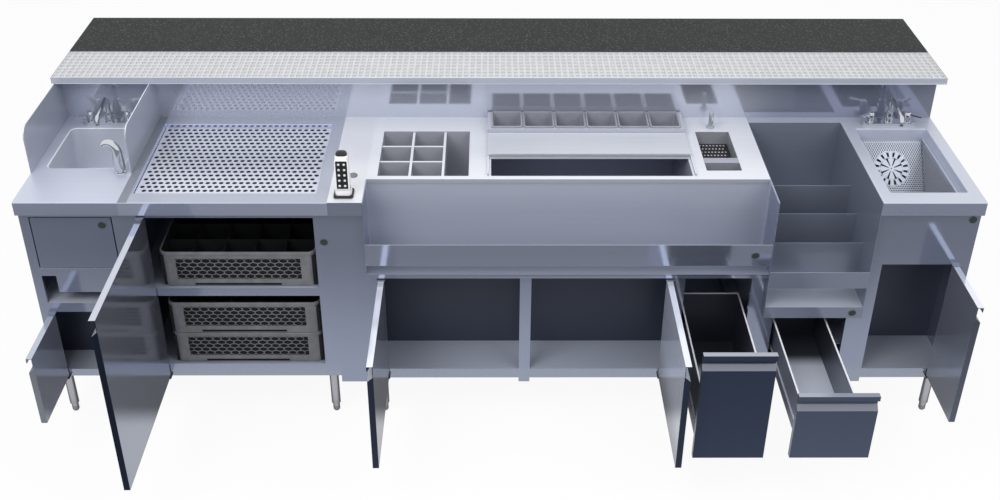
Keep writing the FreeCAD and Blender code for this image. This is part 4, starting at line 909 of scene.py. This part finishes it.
grid_x, grid_y, grid_z = span("drink_rail_grid")
GRID_PLATE = 3
GRID_RIBS = 4
grid = Shape()
grid.grille(grid_x, grid_y, (grid_z[1] - GRID_PLATE, grid_z[1]), 144, 8, 7)
grid.paint = 1
grid.block(grid_x, grid_y, (grid_z[1] - 5, grid_z[1] - GRID_PLATE - 0.1), 0.4)
for number in range(GRID_RIBS):
    low = grid_y[0] + 20 + (grid_y[1] - grid_y[0] - 46) / (GRID_RIBS - 1) * number
    grid.block(grid_x, (low, low + 6), (grid_z[0], grid_z[1] - 5.1), 0.5)
piece("rail_grid_plate", grid, "drink_rail_grid", ["grid_plastic", "grid_mat"], "drink_rail_grid")


# Garnish pans: one moulded shell each

for number in range(1, 7):
    node = f"garnish_pan_{number}"
    x, y, (foot, top) = span(node)
    steps = (
        (0.0, top - 5.4), (0.0, top - 1.2), (0.4, top - 0.4), (1.2, top), (4.0, top), (4.8, top - 0.5),
        (5.2, top - 1.5), (5.6, top - 8), (8.0, foot + 12), (9.0, foot + 5.5), (12.0, foot + 2.5),
        (16.0, foot + 1.6),
    )
    shell = Shape()
    shell.loft([inset_loop(x, y, 7 + inset * 0.9, inset, z) for inset, z in steps], cap_last=True)
    piece(node + "_shell", shell, node, ["pan_plastic"], node, 1.4)


# Dump sink basket: finely pierced floors and sides, a round strainer on the slope, and rims

BASKET_FOOT = -236.7
BASKET_RIM = -36.7
BASKET_WALL = 2
PLATE = 1.6
HOLE_SHARE = 0.62
SIDE_MARGIN = 4
basket_x = (sink_x[0] + 8, sink_x[1] - 8)
basket_y = (sink_y[0] + 4, sink_y[1] - 4)
SLOPE_RUN = 180
slope_start = basket_y[1] - SLOPE_RUN
slope_length = hypot(SLOPE_RUN, BASKET_RIM - BASKET_FOOT)
slope_way = (SLOPE_RUN / slope_length, (BASKET_RIM - BASKET_FOOT) / slope_length)
slope_move = (0, PLATE * slope_way[1], -PLATE * slope_way[0])
inner_wide = basket_x[1] - basket_x[0] - 2 * BASKET_WALL
flat_deep = slope_start - basket_y[0] - BASKET_WALL
STRAINER_RADIUS = 60
strainer_at = (inner_wide / 2, slope_length * 0.635)


def on_flat(u, v):
    return (basket_x[0] + BASKET_WALL + u, basket_y[0] + BASKET_WALL + v, BASKET_FOOT + BASKET_WALL)


def on_slope(u, v, rise=0.0):
    lift = BASKET_WALL + rise
    return (
        basket_x[0] + BASKET_WALL + u,
        slope_start + v * slope_way[0] - lift * slope_way[1],
        BASKET_FOOT + v * slope_way[1] + lift * slope_way[0],
    )


def outside_strainer(u, v):
    return dist((u, v), strainer_at) > STRAINER_RADIUS - 5


def before_slope(u, v):
    """Whether a point of a basket side lies clear of the sloping floor's line, in the side's own plane."""
    return (v - 6) * slope_way[0] - (u - slope_start + basket_y[0]) * slope_way[1] > 2


def slotted_ring(shape, reach, count, share):
    """A ring of radial slots in the strainer: each sector is a cell with a slot for a hole."""
    pairs = []
    start, end = reach
    for number in range(count):
        sector = []
        slot = []
        for radius, side, margin in ((start, -1, 2.5), (end, -1, -2.5), (end, 1, -2.5), (start, 1, 2.5)):
            for cell, reached, part in ((sector, radius, 0.5), (slot, radius + margin, share)):
                angle = 2 * pi * (number + 0.5 + side * part) / count
                cell.append(on_slope(*around(strainer_at, reached, angle), 2.4))
        pairs.append((sector, slot))
    shape.cells(pairs, slope_move)


basket = Shape()
basket.pierced(on_flat, inner_wide, flat_deep, 27, 33, HOLE_SHARE, (0, 0, -PLATE))
basket.pierced(on_slope, inner_wide, slope_length - 4, 27, 39, HOLE_SHARE, slope_move, outside_strainer)
inner_slots = (7, 37)
outer_slots = (37, 57)
slotted_ring(basket, inner_slots, 8, 0.12)
slotted_ring(basket, outer_slots, 16, 0.19)
RING_SIDES = 48
for ring in ((2, inner_slots[0]), (outer_slots[1], STRAINER_RADIUS)):
    low, high = (
        [on_slope(*around(strainer_at, radius, 2 * pi * k / RING_SIDES), 2.6) for k in range(RING_SIDES)]
        for radius in ring
    )
    basket.cells([(high, low)], slope_move)
side_edge = [
    (basket_y[0], BASKET_FOOT), (slope_start, BASKET_FOOT),
    (basket_y[1], BASKET_RIM), (basket_y[0], BASKET_RIM),
]
side_inner = [
    (basket_y[0] + 9, BASKET_FOOT + 9), (slope_start - 4, BASKET_FOOT + 9),
    (basket_y[1] - 21, BASKET_RIM - 9), (basket_y[0] + 9, BASKET_RIM - 9),
]
side_run = basket_y[1] - basket_y[0] - 2 * SIDE_MARGIN
side_fall = BASKET_RIM - BASKET_FOOT - 2 * SIDE_MARGIN
for low in (basket_x[0], basket_x[1] - BASKET_WALL):
    edge, inner = ([(low, y, z) for y, z in loop] for loop in (side_edge, side_inner))
    basket.cells([(edge, inner)], (BASKET_WALL, 0, 0))

    def on_side(u, v):
        return (low + 0.2, basket_y[0] + SIDE_MARGIN + u, BASKET_FOOT + SIDE_MARGIN + v)

    basket.pierced(on_side, side_run, side_fall, 48, 29, HOLE_SHARE, (PLATE, 0, 0), before_slope)
front_x = (basket_x[0] + 2.1, basket_x[1] - 2.1)
basket.block(front_x, (basket_y[0], basket_y[0] + BASKET_WALL), (BASKET_FOOT, BASKET_RIM), 0.4)
for rim_x in ((sink_x[0] + 1, basket_x[0] + 2), (basket_x[1] - 2, sink_x[1] - 1)):
    basket.block(rim_x, basket_y, (BASKET_RIM + 0.1, BASKET_RIM + 2.7), 0.8)
piece("pierced_basket", basket, "dump_basket", ["basket_steel"], "dump_basket")


# Pale nubs on a sheet under the rinse mat, one in each of its holes

mat_x, mat_y, (_, mat_top) = span("rinse_insert")
MAT_MARGIN = 11
MAT_ROWS = 8
NUB = [(0, 0.4), (2.2, 0.2), (3.4, -1.2), (3.6, -4.4), (0, -4.4)]
mat_pitch = (mat_x[1] - mat_x[0] - 2 * MAT_MARGIN) / (MAT_ROWS - 0.5)
mat_step = (mat_y[1] - mat_y[0] - 2 * MAT_MARGIN) / (MAT_ROWS - 1)
nubs = Shape()
sheet_x = (mat_x[0] + 2.4, mat_x[1] - 2.4)
nubs.block(sheet_x, (mat_y[0] + 1, mat_y[1] - 1), (mat_top - 6.4, mat_top - 4.3), 0.4)
for row in range(MAT_ROWS):
    for column in range(MAT_ROWS):
        across = mat_x[0] + MAT_MARGIN + mat_pitch * (column + 0.5 * (row % 2))
        nubs.lathe(NUB, (across, mat_y[0] + MAT_MARGIN + mat_step * row, mat_top), 16)
piece("rinse_mat_nubs", nubs, "rinse_insert", ["button_plastic"], None)


# Soda gun, its keypad and its holder

gun_x = span("soda_gun")[0]
GUN_MID = (gun_x[0] + gun_x[1]) / 2
GUN_Y = 52


def about_gun(half):
    return (GUN_MID - half, GUN_MID + half)


gun_wide = about_gun(20)
gun_deep = (GUN_Y - 17, GUN_Y + 17)
BEZEL_FACE = 31.4
gun = Shape()
body_steps = ((1.6, 6.4), (0.4, 7.6), (0, 9.5), (0, 122), (0.5, 128), (2.4, 131.8))
gun.loft(stack(gun_wide, gun_deep, 9, body_steps), True, True)
bezel = upright(rounded(gun_wide, (25.7, 122.3), 5), BEZEL_FACE)
key_room = upright(rounded(about_gun(16.8), (28.7, 119.3), 2), BEZEL_FACE)
gun.cells([(bezel, key_room)], (0, 4.2, 0))
gun.paint = 1
DOME_STEPS = 8
dome = []
for k in range(DOME_STEPS):
    run, rise = around((0, 0), 1, QUARTER * k / DOME_STEPS)
    dome.append((3 + 13.6 * (1 - run), 131.9 + 11.5 * rise))
gun.loft(stack(gun_wide, gun_deep, 14, dome), True, True)
piece("soda_gun_body", gun, "soda_gun", ["gun_plastic", "black_plastic"], "soda_gun")

key_x, _, key_z = span("gun_keypad")
KEY = [(0, 1.8), (2.4, 1.6), (3.4, 0.8), (3.8, 0), (3.8, -0.3), (0, -0.3)]
keys = Shape()
plate = rounded(key_x, key_z, 1.8)
keys.loft([upright(plate, 33.4), upright(plate, 30.6)], True, True)
keys.paint = 1
for row in range(5):
    for key_at in about_gun(8):
        keys.lathe(KEY, (key_at, 30.4, key_z[0] + 10 + 17.5 * row), 24, True)
piece("keypad_face", keys, "gun_keypad", ["black_plastic", "button_plastic"], "gun_keypad")

holder = Shape()
holder_steps = ((0, 0.1), (0, 4.6), (0.5, 5.6), (1.6, 6))
holder.paint = 1
holder.loft(stack(about_gun(29), (24, 80), 8, holder_steps), True, True)
holder.paint = 0
cup_steps = ((0, 6.1), (0, 21), (0.6, 22), (2.4, 22), (2.8, 21), (2.8, 6.1), (0, 6.1))
holder.loft(stack(about_gun(24), (31, 73), 11, cup_steps))
holder.block(gun_wide, (70.4, 73), (22, 52), 1)
holder.paint = 2
holder.lathe([(0, 0.1), (13, 0.1), (13, 3), (12, 4.2), (8, 5.5), (0, 5.5)], (gun_x[0] + 36.5, 164, 0))
piece("gun_holder_cup", holder, STATION, ["gun_plastic", "rubber", "grommet_plastic"], "gun_holder")


# Badges, each an enamel disc in a pale ring, and the towel door, which carries one

RING = [(10.4, 0.1), (12.5, 0.1), (12.5, 1.4), (12, 2.3), (11, 2.3), (10.4, 1.5), (10.4, 0.1)]
DISC = [(0, 1.9), (5, 1.8), (10.2, 1.3), (10.3, 0.1), (0, 0.1)]
FRAME_FACE = 22


def badge(shape, at):
    shape.paint = 0
    shape.lathe(RING, at, forward=True)
    shape.paint = 1
    shape.lathe(DISC, at, forward=True)


badges = Shape()
badge(badges, (rack_x[1] - 21, FRAME_FACE, -148))
badge(badges, (bar_x[1] - 50, 0, -182))
badge(badges, (dump_x[0] - 32, 0, -392))
badge(badges, (dump_x[1] - 22, FRAME_FACE, -70))
piece("badge_discs", badges, STATION, ["badge_ring_steel", "badge_enamel"], "badges")

towel_x, _, towel_z = span("towel_door")
towel = Shape()
towel.paint = 2
towel_loops = []
for inset, depth in ((0.6, 34), (0, 33.2), (0, 23), (0.3, 22.3), (1.0, FRAME_FACE)):
    limits = [(low + inset, high - inset) for low, high in (towel_x, towel_z)]
    towel_loops.append(upright(rounded(*limits, 2.5), depth))
towel.loft(towel_loops, True, True)
badge(towel, (rack_x[0] - 63.4, FRAME_FACE, -89))
towel_looks = ["badge_ring_steel", "badge_enamel", "towel_steel"]
piece("towel_panel", towel, "towel_door", towel_looks, "towel_door")


# Soap pump: a tapered neck that leans over to the left, on a skirt around the collar

NECK_STEPS = 20
NECK_REACH = 24
neck = [(*SOAP_AT, 39.6)]
radii = [16.5]
for k in range(NECK_STEPS + 1):
    part = k / NECK_STEPS
    run, rise = around((0, 0), NECK_REACH, radians(128 * part))
    neck.append((SOAP_AT[0] - NECK_REACH + run, SOAP_AT[1], 66 + rise * 1.45))
    radii.append(15.0 - 5.0 * part)
pump = Shape()
pump.tube(neck, radii)
skirt = [(10.2, 14.5), (16.6, 14.5), (17.2, 16), (17.0, 37), (16.6, 41), (10.2, 41), (10.2, 14.5)]
pump.lathe(skirt, (*SOAP_AT, 0))
piece("soap_neck", pump, "soap_pump", ["chrome"], "soap_pump")


# Drawer rims: a folded hem along each side and the back of the box, toned near white as the painted highlight
# along the rim

DRAWER_GAP = 9
HEM_WIDE = 4.4
HEM_PROUD = 0.6


def drawer_hems(node, rim, spare=0):
    """The box is narrower than the front leaf by a gap on each side and by what is spare on the right."""
    x, y, _ = span(node)
    left, right = x[0] + DRAWER_GAP, x[1] - DRAWER_GAP - spare
    run = (y[0] + LEAF, y[1])
    rise = (rim - 2.2, rim + HEM_PROUD)
    hems = Shape()
    hems.block((left - HEM_PROUD, left + HEM_WIDE), run, rise, 0.6)
    hems.block((right - HEM_WIDE, right + HEM_PROUD), run, rise, 0.6)
    hems.block((left + HEM_WIDE, right - HEM_WIDE), (y[1] - HEM_WIDE, y[1]), rise, 0.6)
    piece(node + "_hems", hems, node, ["hem_highlight_steel"], None)


drawer_hems("bottle_drawer", -415)
drawer_hems("utility_drawer", -446, 50)


# CAD nodes kept as they are: the look that is named after each, or a shared one, and eased edges

SHARED = {
    "ice_cover_front": "cover_steel", "ice_cover_rear": "cover_steel", "rinse_insert": "rubber",
    "stone_top": "stone", "bar_die": "die_board",
}
EASED = {"stone_top": 2.5, "legs": 0.0, "drain_insert": 0.0, "rinse_insert": 0.0}
for name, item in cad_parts.items():
    shared = "chrome" if "faucet" in name else SHARED.get(name)
    look = LOOKS.get(shared or name + "_steel")
    if not look:
        continue
    item.data.materials.clear()
    item.data.materials.append(look)
    width = EASED.get(name, 0.6)
    if width:
        weld = item.modifiers.new("weld", "WELD")
        weld.merge_threshold = 1e-5
        ease = item.modifiers.new("ease", "BEVEL")
        ease.width = width * MM
        ease.segments = 2
        ease.limit_method = "ANGLE"
        ease.angle_limit = radians(50)
        ease.use_clamp_overlap = True


# Floor: white to the camera and pale in the light; in mirrors it glows as a painted reflection, painted dark
# under the station as its shadow and fading with the distance in front

WHITE = (1, 1, 1, 1)
COOL_WHITE = (0.97, 0.98, 1.0, 1)
HALF = 30
floor_mesh = bpy.data.meshes.new("floor")
corners = [(-HALF, -HALF, 0), (HALF, -HALF, 0), (HALF, HALF, 0), (-HALF, HALF, 0)]
floor_mesh.from_pydata(corners, [], [(0, 1, 2, 3)])
floor = placed("floor", floor_mesh)
paint = bpy.data.materials.new("pale_floor")
paint.use_nodes = True
tree = paint.node_tree
tree.nodes.clear()
rays = add(tree, "ShaderNodeLightPath").outputs
depth = add(tree, "ShaderNodeSeparateXYZ", Vector=places(tree)).outputs[1]
# The glow in mirrors is painted light: dark under the station for its shadow, brightest just in front and
# fading further out.
shadow_under_station = ramp(tree, depth, -0.18, -0.30, 0.14, 0.70)
far_fade = ramp(tree, depth, -0.40, -1.35, 1.0, 0.36)
fade = maths(tree, "MULTIPLY", shadow_under_station, far_fade)
mirrored = add(tree, "ShaderNodeEmission", Color=COOL_WHITE, Strength=fade).outputs[0]
matt = add(tree, "ShaderNodeBsdfDiffuse", Color=(0.85, 0.85, 0.86, 1)).outputs[0]
glow = add(tree, "ShaderNodeEmission", Color=WHITE, Strength=1.0).outputs[0]
in_light = mixed_shader(tree, rays["Is Glossy Ray"], matt, mirrored)
share = maths(tree, "MULTIPLY", rays["Is Camera Ray"], 0.93)
add(tree, "ShaderNodeOutputMaterial", Surface=mixed_shader(tree, share, in_light, glow))
floor_mesh.materials.append(paint)


# Light and camera

world = bpy.data.worlds.new("studio")
world.use_nodes = True
bpy.context.scene.world = world
tree = world.node_tree
tree.nodes.clear()
soft = add(tree, "ShaderNodeBackground", Color=COOL_WHITE, Strength=0.6).outputs[0]
white = add(tree, "ShaderNodeBackground", Color=WHITE, Strength=1.0).outputs[0]
rays = add(tree, "ShaderNodeLightPath").outputs
direct = maths(tree, "MAXIMUM", rays["Is Camera Ray"], rays["Is Glossy Ray"])
direct = maths(tree, "MAXIMUM", direct, rays["Is Transmission Ray"])
add(tree, "ShaderNodeOutputWorld", Surface=mixed_shader(tree, direct, soft, white))


def area_light(name, place, aim, size, power):
    lamp = bpy.data.lights.new(name, "AREA")
    lamp.size = size
    lamp.energy = power
    item = placed(name, lamp)
    item.location = place
    item.rotation_euler = (Vector(aim) - Vector(place)).to_track_quat("-Z", "Y").to_euler()
    item.visible_glossy = False
    return item


MIDDLE = (0, 0.1, 0.6)
key_light = area_light("key_light", (-2.2, -3.0, 4.2), MIDDLE, 2.5, 120)
fill_light = area_light("fill_light", (2.8, -2.5, 3.4), MIDDLE, 3.0, 60)
top_light = area_light("top_light", (0, -0.2, 3.3), (0, -0.19, 0), 3.2, 30)

PITCH = radians(32.265)
YAW = radians(0.52)
ROLL = radians(-0.276)
EYE = (-0.03106, -3.3592, 2.6126)
lens = bpy.data.cameras.new("camera")
lens.lens = 44.36
lens.sensor_width = 36
lens.sensor_fit = "HORIZONTAL"
camera = placed("camera", lens)
heading = Matrix.Rotation(-YAW, 4, "Z") @ Matrix.Rotation(QUARTER - PITCH, 4, "X")
camera.matrix_world = Matrix.Translation(EYE) @ heading @ Matrix.Rotation(-ROLL, 4, "Z")
bpy.context.scene.camera = camera
bpy.context.scene.view_settings.view_transform = "Standard"
